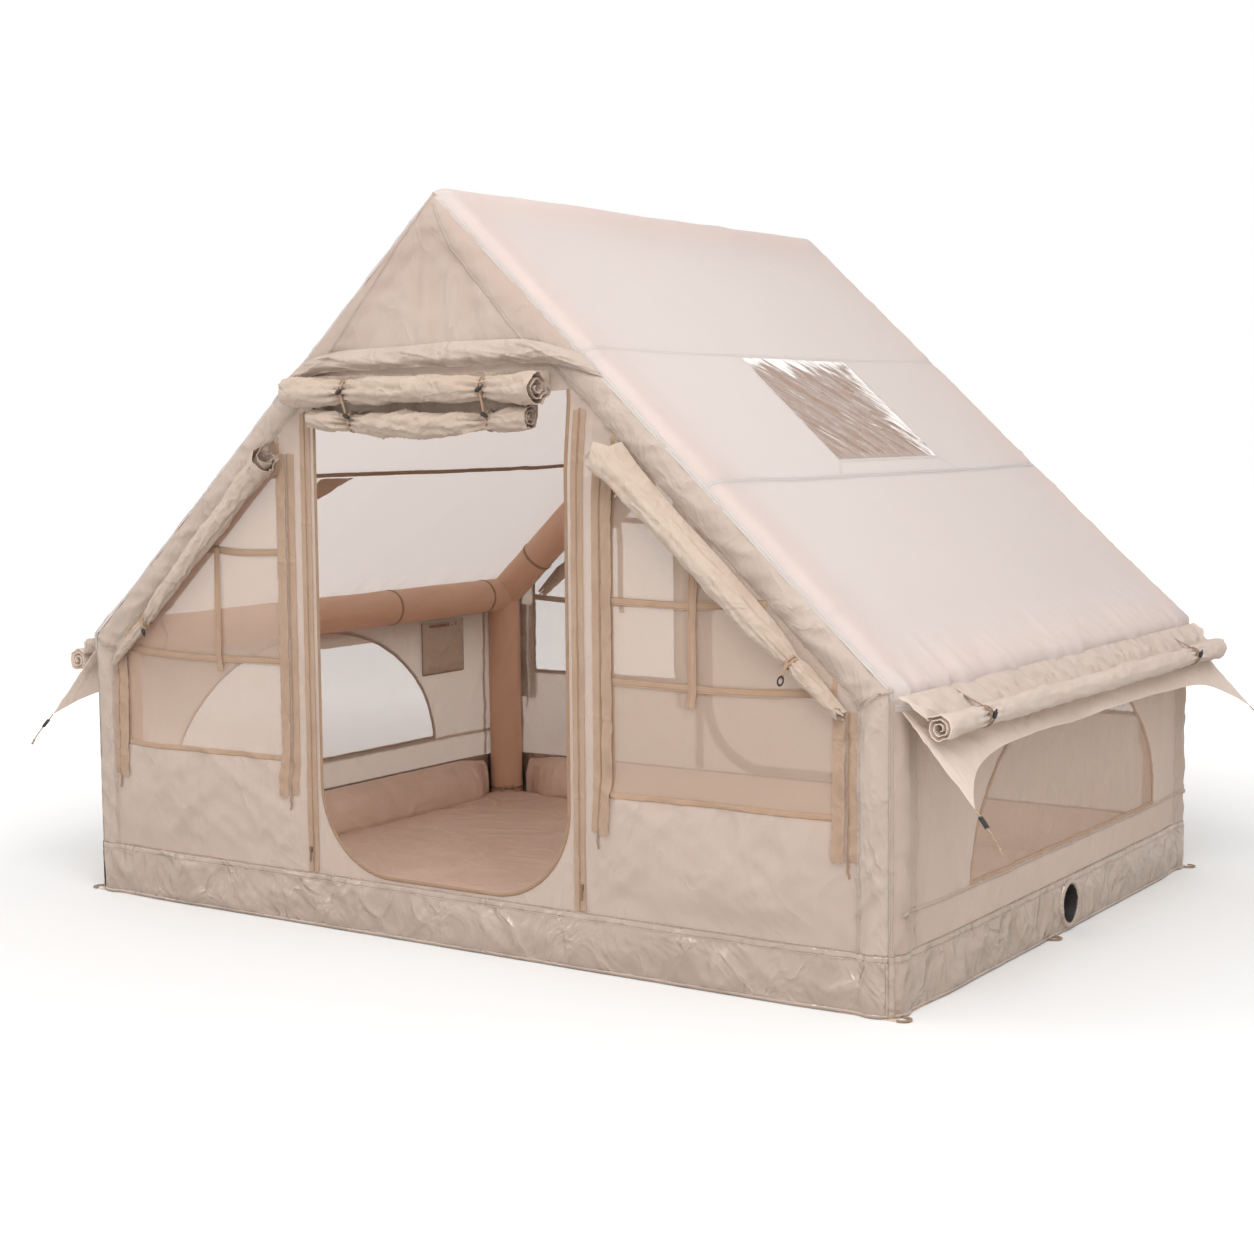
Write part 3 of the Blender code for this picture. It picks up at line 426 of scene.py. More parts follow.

# colour as it looks, darker colour for the random tone and for the painted shade in the crease
# hollows, roughness, sheen, share of light let through and its tint, creases to a metre and
# their depth, how far they are drawn out, weave depth
clothLooks = {
    "canvas": dict(colour=(213, 201, 192), deep=(205, 189, 177), rough=0.86, sheen=0.12,
                   through=0.56, glow=(246, 239, 233), creases=5.5, depth=0.0050,
                   stretch=(1.0, 0.55), weave=0.00012),
    "sleeveCloth": dict(colour=(210, 196, 185), deep=(197, 180, 167), rough=0.80, sheen=0.12,
                        through=0.35, glow=(242, 232, 222), creases=9.0, depth=0.0060,
                        stretch=(1.0, 0.6), weave=0.00012),
    "roofCloth": dict(colour=(228, 224, 223), deep=(225, 219, 217), rough=0.72, sheen=0.05,
                      through=0.64, glow=(253, 250, 248), creases=2.2, depth=0.0014,
                      stretch=(1.0, 0.6), weave=0.00008),
    "rollCloth": dict(colour=(199, 181, 166), deep=(176, 154, 136), rough=0.80, sheen=0.12,
                      through=0.10, glow=(240, 226, 212), creases=12.0, depth=0.0048,
                      stretch=(0.8, 1.0), weave=0.00012),
    "awningCloth": dict(colour=(228, 216, 208), deep=(217, 202, 192), rough=0.74, sheen=0.08,
                        through=0.50, glow=(246, 238, 230), creases=7.0, depth=0.0050,
                        stretch=(1.0, 0.5), weave=0.00010),
    "tubeCloth": dict(colour=(208, 169, 143), deep=(197, 157, 131), rough=0.60, sheen=0.05,
                      through=0.0, creases=6.0, depth=0.0016, stretch=(0.6, 1.0),
                      weave=0.00006),
    "skirtCloth": dict(colour=(182, 165, 152), deep=(164, 147, 134), rough=0.33, sheen=0.0,
                       through=0.0, creases=6.5, depth=0.0100, stretch=(1.0, 0.8),
                       weave=0.00002, metal=0.35),
    "floorCloth": dict(colour=(219, 191, 174), deep=(203, 173, 155), rough=0.44, sheen=0.0,
                       through=0.0, creases=3.2, depth=0.006, stretch=(1.0, 1.0),
                       weave=0.00002),
    "webbing": dict(colour=(186, 156, 132), deep=(168, 137, 113), rough=0.88, sheen=0.1,
                    through=0.15, glow=(226, 204, 184), creases=22.0, depth=0.0012,
                    stretch=(0.5, 1.0), weave=0.0003),
    "flapCloth": dict(colour=(192, 166, 144), deep=(172, 143, 121), rough=0.84, sheen=0.1,
                      through=0.25, glow=(230, 210, 192), creases=14.0, depth=0.0026,
                      stretch=(0.6, 1.0), weave=0.0002),
    "piping": dict(colour=(158, 130, 107), deep=(136, 108, 86), rough=0.8, sheen=0.05,
                   through=0.0, creases=30.0, depth=0.0008, stretch=(0.5, 1.0),
                   weave=0.0003),
}
weaveScale = 230.0
# the hollow share is the painted shade laid into the crease hollows
clothShares = {"tint": 0.55, "hollow": 0.45, "thread": 0.75, "specular": 0.35}
stitchLook = {"length": 0.0042, "width": 0.0009, "groove": 0.0012, "thread": (150, 122, 100)}
stitchRowsAt = {"Seam": 0.0040, "Tape": 0.0078, "Placket": 0.0215}  # from a strip's middle


def flatMap(tree):
    return wire(tree, "UVMap", uv_map="flat").outputs[0]


def newMaterial(name):
    made = bpy.data.materials.new(name)
    made.use_nodes = True
    tree = made.node_tree
    tree.nodes.clear()
    return made, tree


def surfaced(made, tree, shader):
    wire(tree, "OutputMaterial", {"Surface": shader.outputs[0]})
    return made


def setInputs(node, values):
    for socket, value in values.items():
        node.inputs[socket].default_value = value


def clothMaterial(name, look, row=0.0):
    made, tree = newMaterial(name)
    uv = flatMap(tree)
    place = wire(tree, "Mapping", {"Vector": uv, "Scale": (*look["stretch"], 1.0)}).outputs[0]
    relief = wire(tree, "Group", node_tree=clothRelief)
    tree.links.new(place, relief.inputs["Place"])
    setInputs(relief, {"CreaseScale": look["creases"], "CreaseDepth": look["depth"],
                       "WeaveScale": weaveScale, "WeaveDepth": look["weave"]})
    # painted shade: the colour goes darker in the crease hollows, where shade falls, on top of the
    # random tone
    randomTone = ranged(tree, relief.outputs["Tint"], 0.3, 0.7)
    hollow = math2(tree, "MULTIPLY", relief.outputs["Hollow"], clothShares["hollow"])
    depth = math2(tree, "MULTIPLY_ADD", randomTone, clothShares["tint"], hollow)
    colour = colourMix(tree, depth, linear(*look["colour"]), linear(*look["deep"]))
    height = relief.outputs["Height"]
    if row:
        rows = wire(tree, "Group", node_tree=stitchRows)
        tree.links.new(uv, rows.inputs["Place"])
        setInputs(rows, {"RowPlace": row, "StitchLength": stitchLook["length"],
                         "ThreadWidth": stitchLook["width"]})
        shown = math2(tree, "MULTIPLY", rows.outputs["Thread"], clothShares["thread"])
        colour = colourMix(tree, shown, colour, linear(*stitchLook["thread"]))
        height = math2(tree, "MULTIPLY_ADD", rows.outputs["Groove"], -stitchLook["groove"], height)
    bump = bumpFrom(tree, height)
    shader = wire(tree, "BsdfPrincipled", {
        "Base Color": colour, "Roughness": look["rough"], "Sheen Weight": look["sheen"],
        "Metallic": look.get("metal", 0.0), "Specular IOR Level": clothShares["specular"],
        "Normal": bump})
    if look["through"]:
        glow = wire(tree, "BsdfTranslucent", {"Color": linear(*look["glow"]), "Normal": bump})
        shader = wire(tree, "MixShader", {
            "Fac": look["through"], 1: shader.outputs[0], 2: glow.outputs[0]})
    return surfaced(made, tree, shader)


finishes = {name: clothMaterial(name, look) for name, look in clothLooks.items()}
for plain, kind in (("canvas", "Seam"), ("roofCloth", "Seam"), ("skirtCloth", "Tape"),
                    ("webbing", "Tape"), ("flapCloth", "Placket")):
    finishes[plain + kind] = clothMaterial(plain + kind, clothLooks[plain], stitchRowsAt[kind])

netLook = {"colour": (198, 176, 159), "scale": 240.0, "open": 0.20, "thread": 0.52,
           "edge": (0.72, 0.9)}
skylight = {"half": 0.34, "centre": 0.06, "top": 0.73, "bottom": 1.20}
# the film's colour is painted shade, the dim inside seen through it; the pale colour is a painted
# white reflection along the streaks
filmLook = {"colour": (154, 121, 100), "paintedReflection": (246, 241, 237), "clear": 0.66, "crest": 0.92,
            "rough": 0.12, "slant": 45.0, "paintedStreak": (4.6, 52.0, 1.0), "crowd": 0.27,
            "from": 0.735, "sharp": 0.08, "depth": 0.005, "waves": 0.0045, "wave": (0.22, 0.035),
            "patch": 9.0, "patchShare": 0.22, "crowdReach": (0.10, 0.13)}


# fine woven net: threads both ways with the holes left open
def netMaterial():
    made, tree = newMaterial("insectNet")
    bands = threadWaves(tree, flatMap(tree), netLook["scale"], Distortion=0.0)
    thread = ranged(tree, math2(tree, "MAXIMUM", *bands), *netLook["edge"], netLook["open"],
                    netLook["thread"])
    return surfaced(made, tree, wire(tree, "BsdfPrincipled", {
        "Base Color": linear(*netLook["colour"]), "Roughness": 0.8, "Specular IOR Level": 0.3,
        "Alpha": thread}))


# clear film painted brown as the shaded inside seen through it, with a painted white
# reflection along its slanting crinkles, which crowds at its upper and rear edges
def filmMaterial():
    made, tree = newMaterial("clearFilm")
    uv = flatMap(tree)
    slanted = wire(tree, "Mapping", {
        "Vector": uv, "Rotation": (0.0, 0.0, math.radians(-filmLook["slant"]))}).outputs[0]
    drawn = wire(tree, "Mapping", {"Vector": slanted, "Scale": filmLook["paintedStreak"]}).outputs[0]
    fine = noise(tree, drawn, 1.0, 4.0, Roughness=0.62, Distortion=0.9)["Fac"]
    broad = noise(tree, uv, filmLook["patch"], 1.0)["Fac"]
    parts = wire(tree, "SeparateXYZ", {0: uv}).outputs
    # the painted reflection crowds towards the film's upper and rear edges
    top, right = skylight["top"], skylight["centre"] + skylight["half"]
    reach, crowd = filmLook["crowdReach"], filmLook["crowd"]
    near = math2(tree, "MAXIMUM", ranged(tree, parts["Y"], top + reach[0], top, 0.0, crowd),
                 ranged(tree, parts["X"], right - reach[1], right, 0.0, crowd))
    level = math2(tree, "ADD", math2(
        tree, "MULTIPLY_ADD", broad, filmLook["patchShare"], fine), near)
    paintedStreak = ranged(tree, level, filmLook["from"], filmLook["from"] + filmLook["sharp"])
    # painted reflection: white colour and less clearness along the streaks, over the brown painted
    # shade
    return surfaced(made, tree, wire(tree, "BsdfPrincipled", {
        "Base Color": colourMix(tree, paintedStreak, linear(*filmLook["colour"]),
                                linear(*filmLook["paintedReflection"])),
        "Roughness": filmLook["rough"],
        "Alpha": ranged(tree, paintedStreak, 0.0, 1.0, filmLook["clear"], filmLook["crest"]),
        "Normal": bumpFrom(tree, level, filmLook["depth"]), "Coat Weight": 1.0,
        "Coat Roughness": 0.05}))


finishes["net"] = netMaterial()
finishes["film"] = filmMaterial()

hardLooks = {
    # the port sleeve's near-black colour is painted shade of the hole
    "portHoleShade": dict(colour=(44, 41, 39), rough=0.62, metal=0.0, grain=0.0006),
    "blackPlastic": dict(colour=(30, 28, 27), rough=0.42, metal=0.0, grain=0.0003),
    "greyPlastic": dict(colour=(148, 138, 129), rough=0.48, metal=0.0, grain=0.0002),
    "bronzeZip": dict(colour=(140, 117, 97), rough=0.36, metal=0.85, grain=0.0002),
}


hardGrain = {"scale": 600.0, "wear": 40.0, "smoother": 0.08, "rougher": 0.12}


def hardMaterial(name, look):
    made, tree = newMaterial(name)
    place = wire(tree, "TexCoord").outputs["Object"]
    grain = noise(tree, place, hardGrain["scale"], 2.0)["Fac"]
    worn = noise(tree, place, hardGrain["wear"], 3.0)["Fac"]
    rough = ranged(tree, worn, 0.0, 1.0, look["rough"] - hardGrain["smoother"],
                   look["rough"] + hardGrain["rougher"])
    return surfaced(made, tree, wire(tree, "BsdfPrincipled", {
        "Base Color": linear(*look["colour"]), "Roughness": rough, "Metallic": look["metal"],
        "Normal": bumpFrom(tree, grain, look["grain"])}))


finishes.update({name: hardMaterial(name, look) for name, look in hardLooks.items()})
hardNodes = {
    "bronzeZip": ("door_zip_slider_left", "door_zip_slider_right", "window_zip_slider_left",
                  "window_zip_slider_right", "rear_zip_slider"),
    "blackPlastic": ("guy_runner_front_left", "guy_runner_front_right", "guy_runner_rear_left",
                     "guy_runner_rear_right"),
    "greyPlastic": ("inflation_valve", "valve_cap"),
}
for finish, nodes in hardNodes.items():
    for node in nodes:
        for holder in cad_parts[node].material_slots:
            holder.material = finishes[finish]
print("finishes mixed:", len(finishes))


# guy cords, one at each awning tip, from the tip to its knotted end
cordLook = {"diameter": 0.004, "length": 0.1194, "pale": (196, 170, 146), "dark": (112, 86, 68),
            "braid": 90.0, "relief": 0.0004}
frontRightRoute = [
    (1.7092, -1.1201, 0.5792), (1.7164, -1.1219, 0.5712), (1.7236, -1.1237, 0.5632),
    (1.7308, -1.1255, 0.5552), (1.7380, -1.1273, 0.5472), (1.7452, -1.1291, 0.5392),
    (1.7524, -1.1309, 0.5312), (1.7596, -1.1327, 0.5232), (1.7666, -1.1344, 0.5150),
    (1.7733, -1.1360, 0.5066), (1.7796, -1.1375, 0.4980), (1.7854, -1.1389, 0.4892),
]


# knot with the frayed cord beyond it
knotProfile = [(-0.001, 0.0), (-0.0008, 0.0024), (0.001, 0.0042), (0.003, 0.0047), (0.0052, 0.0040),
               (0.0068, 0.0022), (0.009, 0.0021), (0.013, 0.0030), (0.018, 0.0042), (0.0182, 0.0)]


def addGuyCord(endName, sideName, end, side):
    route = [(side * x, -end * y, z) for x, y, z in frontRightRoute]
    way = Vector(route[-1]) - Vector(route[-2])
    knot = revolved(f"guyKnot{endName.title()}{sideName.title()}", knotProfile, route[-1], way, 28,
                    lambda turn, along: 1 + 0.14 * np.cos(
                        np.where(along > 0.008, 9, 3) * turn + along * 300))
    dress(knot, finishes["cordBraid"], f"{sideName}_awning")
    data = bpy.data.curves.new("guyCord", "CURVE")
    data.dimensions = "3D"
    data.bevel_depth = cordLook["diameter"] / 2
    data.bevel_resolution = 4
    data.use_fill_caps = True
    spline = data.splines.new("POLY")
    spline.points.add(len(route) - 1)
    for point, place in zip(spline.points, route):
        point.co = (*place, 1)
    cord = bpy.data.objects.new(f"guyCord{endName.title()}{sideName.title()}", data)
    bpy.context.scene.collection.objects.link(cord)
    cord.data.materials.append(finishes["cordBraid"])
    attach(cord, f"{sideName}_awning")
    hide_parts(f"guy_cord_{endName}_{sideName}")


# two-colour braid round a thin cord
def braidMaterial():
    made, tree = newMaterial("cordBraid")
    place = wire(tree, "TexCoord").outputs["Object"]
    wave = wire(tree, "TexWave", {
        "Vector": place, "Scale": cordLook["braid"], "Distortion": 2.0},
                bands_direction="DIAGONAL").outputs["Fac"]
    colour = colourMix(tree, wave, *(linear(*cordLook[key]) for key in ("pale", "dark")))
    return surfaced(made, tree, wire(tree, "BsdfPrincipled", {
        "Base Color": colour, "Roughness": 0.75,
        "Normal": bumpFrom(tree, wave, cordLook["relief"])}))


finishes["cordBraid"] = braidMaterial()
for sideName, side in (("left", -1), ("right", 1)):
    for endName, end in (("front", -1), ("rear", 1)):
        addGuyCord(endName, sideName, end, side)
print("guy cords laid")


# where cloth lies on the air frame
wrap = {
    "centre": 0.072,  # tube's axis under the outer face
    "cloth": 0.0705,  # wall cloth round the tube
    "roof": 0.0732,  # roof cloth over it
    "turn": math.radians(45),  # where wall and side meet on the tube
    "reach": 0.12,  # sleeve, on to the flat wall
    "settle": 0.20,  # from there to the taut wall
}


# cloth over a tube: from the distance to the frame's outer edge, how far out it lies and
# how far in it is drawn
def overTube(distance, radius=None):
    radius = radius or wrap["cloth"]
    centre, reach = wrap["centre"], wrap["reach"]
    turn = (centre - distance) / centre * wrap["turn"]
    turn = np.maximum(turn, (centre - reach) / centre * wrap["turn"])
    out = radius * np.cos(turn)
    inward = centre - radius * np.sin(turn) - np.minimum(distance, reach)
    settle = eased(distance, reach, reach + wrap["settle"])
    return out + (radius - out) * settle, inward * (1 - settle)


gableLook = {"bulge": 0.016, "rays": 0.007, "raySpread": 0.13, "creases": 0.0045}
wallLook = {"bulge": 0.020, "folds": 0.0165, "creases": 0.0034, "crease": (0.09, 0.07),
            "slants": ((62, 0.10, 0.34), (-50, 0.13, 0.42))}  # degrees, across, along
sleeveLook = {"folds": 0.0060, "pitch": 0.085}


# how far the front or rear cloth stands out from its taut place
def wallRelief(x, z, seed):
    under = (tent["apex"] - np.abs(x) * tanPitch - z) * cosPitch
    edge = np.minimum(under, tent["sideOut"] - np.abs(x))
    inGable = eased(z, tent["gableBase"] - 0.01, tent["gableBase"] + 0.10) * eased(edge, 0.02, 0.2)
    ray = np.arctan2(x, tent["apex"] + 0.03 - z)
    fall = np.hypot(x, tent["apex"] - z)
    gable = gableLook["bulge"] + gableLook["rays"] * creased(
        ray / gableLook["raySpread"] + 7, fall / 0.9, seed + 3, 2)
    gable = gable + gableLook["creases"] * creased(x / 0.16, z / 0.22, seed + 5)
    low = eased(edge, 0.10, 0.30) * (1 - eased(z, 0.50, 0.60)) * eased(z, 0.165, 0.26)
    low = low * eased(np.abs(x), 0.50, 0.62)
    slant, other = (creased(*turned(x, z, *wave), seed + 11 + number, 2)
                    for number, wave in enumerate(wallLook["slants"]))
    wide, tall = wallLook["crease"]
    wall = wallLook["bulge"] * np.sin(np.pi * np.clip((z - skirtTop) / 0.42, 0, 1))
    wall = wall + wallLook["folds"] * (slant + other) * 0.5
    wall = wall + wallLook["creases"] * creased(x / wide, z / tall, seed + 13)
    along = np.where(under < tent["sideOut"] - np.abs(x),
                     np.abs(x) * cosPitch + (tent["apex"] - z) * sinPitch, z + 3.0)
    across = eased(edge, 0.0, 0.03) * (1 - eased(edge, 0.13, 0.20))
    pulls = creased(along / sleeveLook["pitch"] + edge * 9, edge / 0.20, seed + 21, 2)
    return inGable * gable + low * wall + across * sleeveLook["folds"] * (pulls + 0.45)


def wallPlace(face):
    def place(x, z, w):
        seed = 100 if face < 0 else 300
        under = (tent["apex"] - np.abs(x) * tanPitch - z) * cosPitch
        inside = tent["sideOut"] - np.abs(x)
        edge = np.minimum(under, inside)
        out, inward = overTube(np.maximum(edge, -0.004))
        onRafter = (under < inside).astype(float)
        across = np.sign(x)
        moved = inward * (onRafter * sinPitch + (1 - onRafter)) * across
        dropped = inward * onRafter * cosPitch
        reach = tent["tubeY"] + out + wallRelief(x, z, seed) + w
        return np.stack([x - moved, face * reach, z - dropped], 1)
    return place


# roof cross-section from the ridge down to the hem, by the run from the sharp apex
def roofSection():
    ridge, eave = tent["ridgeRound"], 0.034
    spots = []
    for turn in np.linspace(0, tent["pitch"], 13):
        spots.append((ridge * math.sin(turn),
                      tent["ridge"] - ridge + ridge * math.cos(turn), turn))
    edge = tent["halfWidth"] - eave
    centre = tent["apex"] - edge * tanPitch - eave / cosPitch
    for turn in np.linspace(tent["pitch"], math.pi / 2, 13):
        spots.append((edge + eave * math.sin(turn), centre + eave * math.cos(turn), turn))
    spots.append((tent["halfWidth"], tent["hem"], math.pi / 2))
    spots = np.array(spots)
    steps = np.hypot(np.diff(spots[:, 0]), np.diff(spots[:, 1]))
    run = np.concatenate([[0], np.cumsum(steps)]) + ridge * (tanPitch - tent["pitch"])
    return run, spots


sectionRun, sectionSpots = roofSection()
roofStart, roofStop = sectionRun[0], sectionRun[-1]
roofLook = {"sag": 0.010, "swell": 0.003, "hemFolds": 0.009, "seams": (0.723, 1.27),
            "dent": 0.0022, "dentHalf": 0.022, "endFolds": 0.0026, "endTurn": math.radians(54)}


def roofRelief(y, run, seed):
    span = eased(1.05 - np.abs(y), 0, 0.5)
    down = np.clip((run - 0.05) / 1.95, 0, 1)
    sag = -roofLook["sag"] * np.sin(np.pi * down) ** 0.8 * span
    swell = roofLook["swell"] * creased(*turned(y, run, 35, 0.5, 0.9), seed, 2) * span
    hem = eased(run, roofStop - 0.30, roofStop - 0.04) * roofLook["hemFolds"] * (0.35 + creased(
        y / 0.10, run / 0.20, seed + 4, 2))
    dents = sum(-roofLook["dent"] * np.exp(-((run - seam) / roofLook["dentHalf"]) ** 2)
                for seam in roofLook["seams"])
    end = eased(np.abs(y), 1.00, 1.12) * roofLook["endFolds"] * creased(
        run / 0.075 + y * 3, y / 0.3, seed + 8, 2)
    return sag + swell + hem + dents + end


def roofPlace(side):
    def place(y, run, w):
        x = np.interp(run, sectionRun, sectionSpots[:, 0])
        z = np.interp(run, sectionRun, sectionSpots[:, 1])
        lean = np.interp(run, sectionRun, sectionSpots[:, 2])
        beyond = np.clip(np.abs(y) - tent["tubeY"], 0, None)
        turn = beyond / (tent["roofEnd"] - tent["tubeY"]) * roofLook["endTurn"]
        out = roofRelief(y, run, 500 + 40 * side) + w
        reach = wrap["roof"] + out
        depth = np.where(beyond > 0, reach * np.cos(turn) - wrap["roof"], out)
        where = np.where(beyond > 0, tent["tubeY"] + reach * np.sin(turn), np.abs(y))
        x, z = x + depth * np.sin(lean), z + depth * np.cos(lean)
        return np.stack([side * x, np.sign(y) * where, z], 1)
    return place


sideLook = {"bulge": 0.010, "folds": 0.004, "fold": (0.11, 0.4), "creases": 0.0022,
            "crease": (0.07, 0.08), "seed": 740}  # fold and crease: along and up


def sidePlace(side):
    def place(y, z, w):
        edge = tent["wallOut"] - np.abs(y)
        out, inward = overTube(np.maximum(edge, 0))
        (foldY, foldZ), (creaseY, creaseZ) = sideLook["fold"], sideLook["crease"]
        seed = sideLook["seed"]
        low = eased(edge, 0.12, 0.3) * eased(z, 0.165, 0.25)
        relief = low * sideLook["bulge"] * np.sin(np.pi * np.clip((z - skirtTop) / 0.6, 0, 1))
        relief = relief + low * sideLook["folds"] * creased(y / foldY, z / foldZ, seed, 2)
        relief = relief + low * sideLook["creases"] * creased(
            y / creaseY, z / creaseZ, seed + 3)
        pulls = creased(z / 0.06 + edge * 6, edge / 0.16, seed + 5, 2)
        pulls = sleeveLook["folds"] * 0.8 * (pulls + 0.45)
        relief = relief + pulls * (1 - eased(edge, 0.13, 0.2))
        reach = tent["tubeX"] + out + relief + w
        return np.stack([side * reach, y - inward * np.sign(y), z], 1)
    return place


skirtLook = {"bulge": 0.008, "crinkle": 0.0070, "slants": ((35, 0.11, 0.19), (-40, 0.09, 0.22)),
             "proud": 0.0016, "foot": 0.0005, "top": 0.1695}  # slants: degrees, across, along
skirtHalves = {"front": 1.4976, "rear": 1.4976, "right": 1.1398, "left": 1.1398}
faceTurns = {"front": 0, "right": 1, "rear": 2, "left": 3}  # quarter turns from the front


# skirts: the flat place is along the wall and up
def skirtPlace(face):
    turns = faceTurns[face]
    half, axis = ((tent["sideOut"], tent["tubeY"]), (tent["wallOut"], tent["tubeX"]))[turns % 2]

    def place(s, z, w):
        edge = half - np.abs(s)
        out, inward = overTube(np.maximum(edge, 0), wrap["cloth"] + skirtLook["proud"])
        seed = 900 + 50 * turns
        first, second = skirtLook["slants"]
        crinkle = creased(*turned(s, z, *first), seed, 2)
        crinkle = crinkle + 0.6 * creased(*turned(s, z, *second), seed + 9, 2)
        low = eased(z, 0.0, 0.03) * (1 - eased(z, 0.135, 0.165) * 0.75)
        relief = skirtLook["bulge"] * np.sin(np.pi * np.clip(z / 0.165, 0, 1)) * eased(edge, 0, 0.1)
        relief = relief + low * skirtLook["crinkle"] * crinkle * (
            0.35 + 0.65 * eased(edge, 0, 0.12))
        reach = axis + out + relief + w
        x, y = s - inward * np.sign(s), -reach
        for turn in range(turns):
            x, y = -y, x
        return np.stack([x, y, z], 1)
    return place


# a panel of cloth: a fine grid cut to its outline, laid in its place
def clothPanel(name, outline, place, holes=(), cell=0.014, thick=0.0011, flipped=False):
    lows, highs = np.min(outline, 0), np.max(outline, 0)
    size = highs - lows + 1.3 * cell
    middle = (lows + highs) / 2
    piece = addGrid(name, *(int(math.ceil(length / cell)) for length in size))
    spots = readPoints(piece)
    writePoints(piece, spots * (size[0], size[1], 1) + (middle[0], middle[1], 0))
    thickened(piece, thick)
    cut(piece, "INTERSECT", outline)
    for hole in holes:
        cut(piece, "DIFFERENCE", hole)
    across, down, deep = readPoints(piece).T
    writeFlat(piece, across, down)
    writePoints(piece, place(across, down, deep))
    if flipped:
        piece.data.flip_normals()
    return piece


def outlineArea(outline):
    spots = np.array(outline)
    after = np.roll(spots, -1, 0)
    return abs(float((spots[:, 0] * after[:, 1] - spots[:, 1] * after[:, 0]).sum())) / 2


# the flat cut that a stretched panel came from
def declareSheet(outline, holes=()):
    spots = np.array(outline)
    width, length = (float(value) for value in spots.max(0) - spots.min(0))
    area = outlineArea(outline) - sum(outlineArea(hole) for hole in holes)
    if area < 0.31 * width * length:
        length, width = max(width, length), area / max(width, length)
        area = None


# a panel cut, laid and dressed, its flat cut measured
def sewPanel(name, outline, place, finish, slot, node, rests, holes=(), held="stretched", **how):
    made = clothPanel(name, outline, place, holes, **how)
    dress(made, finishes[finish], nodes=[node] if node else ())
    declareSheet(outline, holes)


def sided(outline, side):
    return outline if side > 0 else [(-x, z) for x, z in reversed(outline)]


def rectangle(left, right, low, high):
    return [(left, low), (right, low), (right, high), (left, high)]


def underRoof(x, depth):
    return tent["apex"] - abs(x) * tanPitch - depth / cosPitch


def slopeX(height, depth):
    return (tent["apex"] - depth / cosPitch - height) / tanPitch


def sleeveLine(x):
    return min(underRoof(x, tent["sleeve"]), tent["gableBase"])


def headLine(left, right):
    corner = slopeX(tent["gableBase"], tent["sleeve"])
    stops = [right] + ([corner] if left < corner < right else []) + [left]
    return [(x, sleeveLine(x)) for x in stops]


def doorway(grow=0.0):
    half, round_ = tent["doorHalf"] + grow, tent["doorRound"] + grow
    points = [(-half, tent["doorTop"] + grow)]
    for centre, start in ((-1, math.pi), (1, 1.5 * math.pi)):
        for turn in np.linspace(start, start + math.pi / 2, 15):
            points.append((centre * (half - round_) + round_ * math.cos(turn),
                           tent["doorSill"] - grow + round_ * (1 + math.sin(turn))))
    points.append((half, tent["doorTop"] + grow))
    return points


base, zipX, corner = tent["gableBase"], tent["doorZip"], tent["corner"]
inX, outX, sill = tent["windowIn"], tent["windowOut"], tent["windowSill"]
gableOutline = [(-slopeX(base, 0), base), (slopeX(base, 0), base), (0.034, 2.2265), (0.0, 2.238),
                (-0.034, 2.2265)]
sleeveOutline = [
    (slopeX(base, tent["sleeve"]), base), (corner, sleeveLine(corner)), (corner, skirtTop),
    (1.4975, skirtTop), (1.4975, underRoof(1.47, 0.0) - 0.03), (1.47, underRoof(1.47, 0.0)),
    (slopeX(base, 0), base)]
wallOutline = [
    (zipX, skirtTop), (corner, skirtTop), (corner, sleeveLine(corner)), (outX, sleeveLine(outX)),
    (outX, sill), (inX, sill), *headLine(zipX, inX)]
windowOutline = [(inX, sill), (outX, sill), *headLine(inX, outX)]
doorHead = headLine(0, zipX)
surroundOutline = [(-zipX, skirtTop), (zipX, skirtTop), *doorHead,
                   *[(-x, z) for x, z in reversed(doorHead[:-1])]]
wallNames = {-1: "front", 1: "rear"}
netCut = {"cell": 0.03, "thick": 0.0006}


def addWalls(face):
    name, place, flipped, front = wallNames[face], wallPlace(face), face > 0, face < 0
    arch = [f"{name}Arch"]
    sewPanel(f"{name}Gable", gableOutline, place, "canvas", "canvas", f"{name}_gable", arch,
             flipped=flipped)
    for side, label in bothSides:
        lower = label.lower()
        sewPanel(f"{name}Sleeve{label}", sided(sleeveOutline, side), place, "sleeveCloth",
                 "canvas", f"front_sleeve_{lower}" if front else "rear_gable", arch,
                 cell=0.012, flipped=flipped)
        sewPanel(f"{name}Wall{label}", sided(wallOutline, side), place, "canvas", "canvas",
                 f"front_wall_{lower}" if front else "rear_wall", [f"{name}Sleeve{label}"],
                 flipped=flipped)
        sewPanel(f"{name}Window{label}", sided(windowOutline, side), place, "net", "insect_mesh",
                 f"{name}_window_{lower}", [f"{name}Wall{label}"], flipped=flipped, **netCut)
    sewPanel(f"{name}DoorSurround", surroundOutline, place, "canvas",
             "webbing" if front else "canvas", "door_surround" if front else "rear_wall",
             [f"{name}WallLeft", f"{name}WallRight"], [doorway()], flipped=flipped)
    if not front:
        sewPanel("rearDoor", doorway(), place, "canvas", "canvas", "rear_door",
                 ["rearDoorSurround"], flipped=True)
    print(f"{name} wall sewn")


for face in (-1, 1):
    addWalls(face)


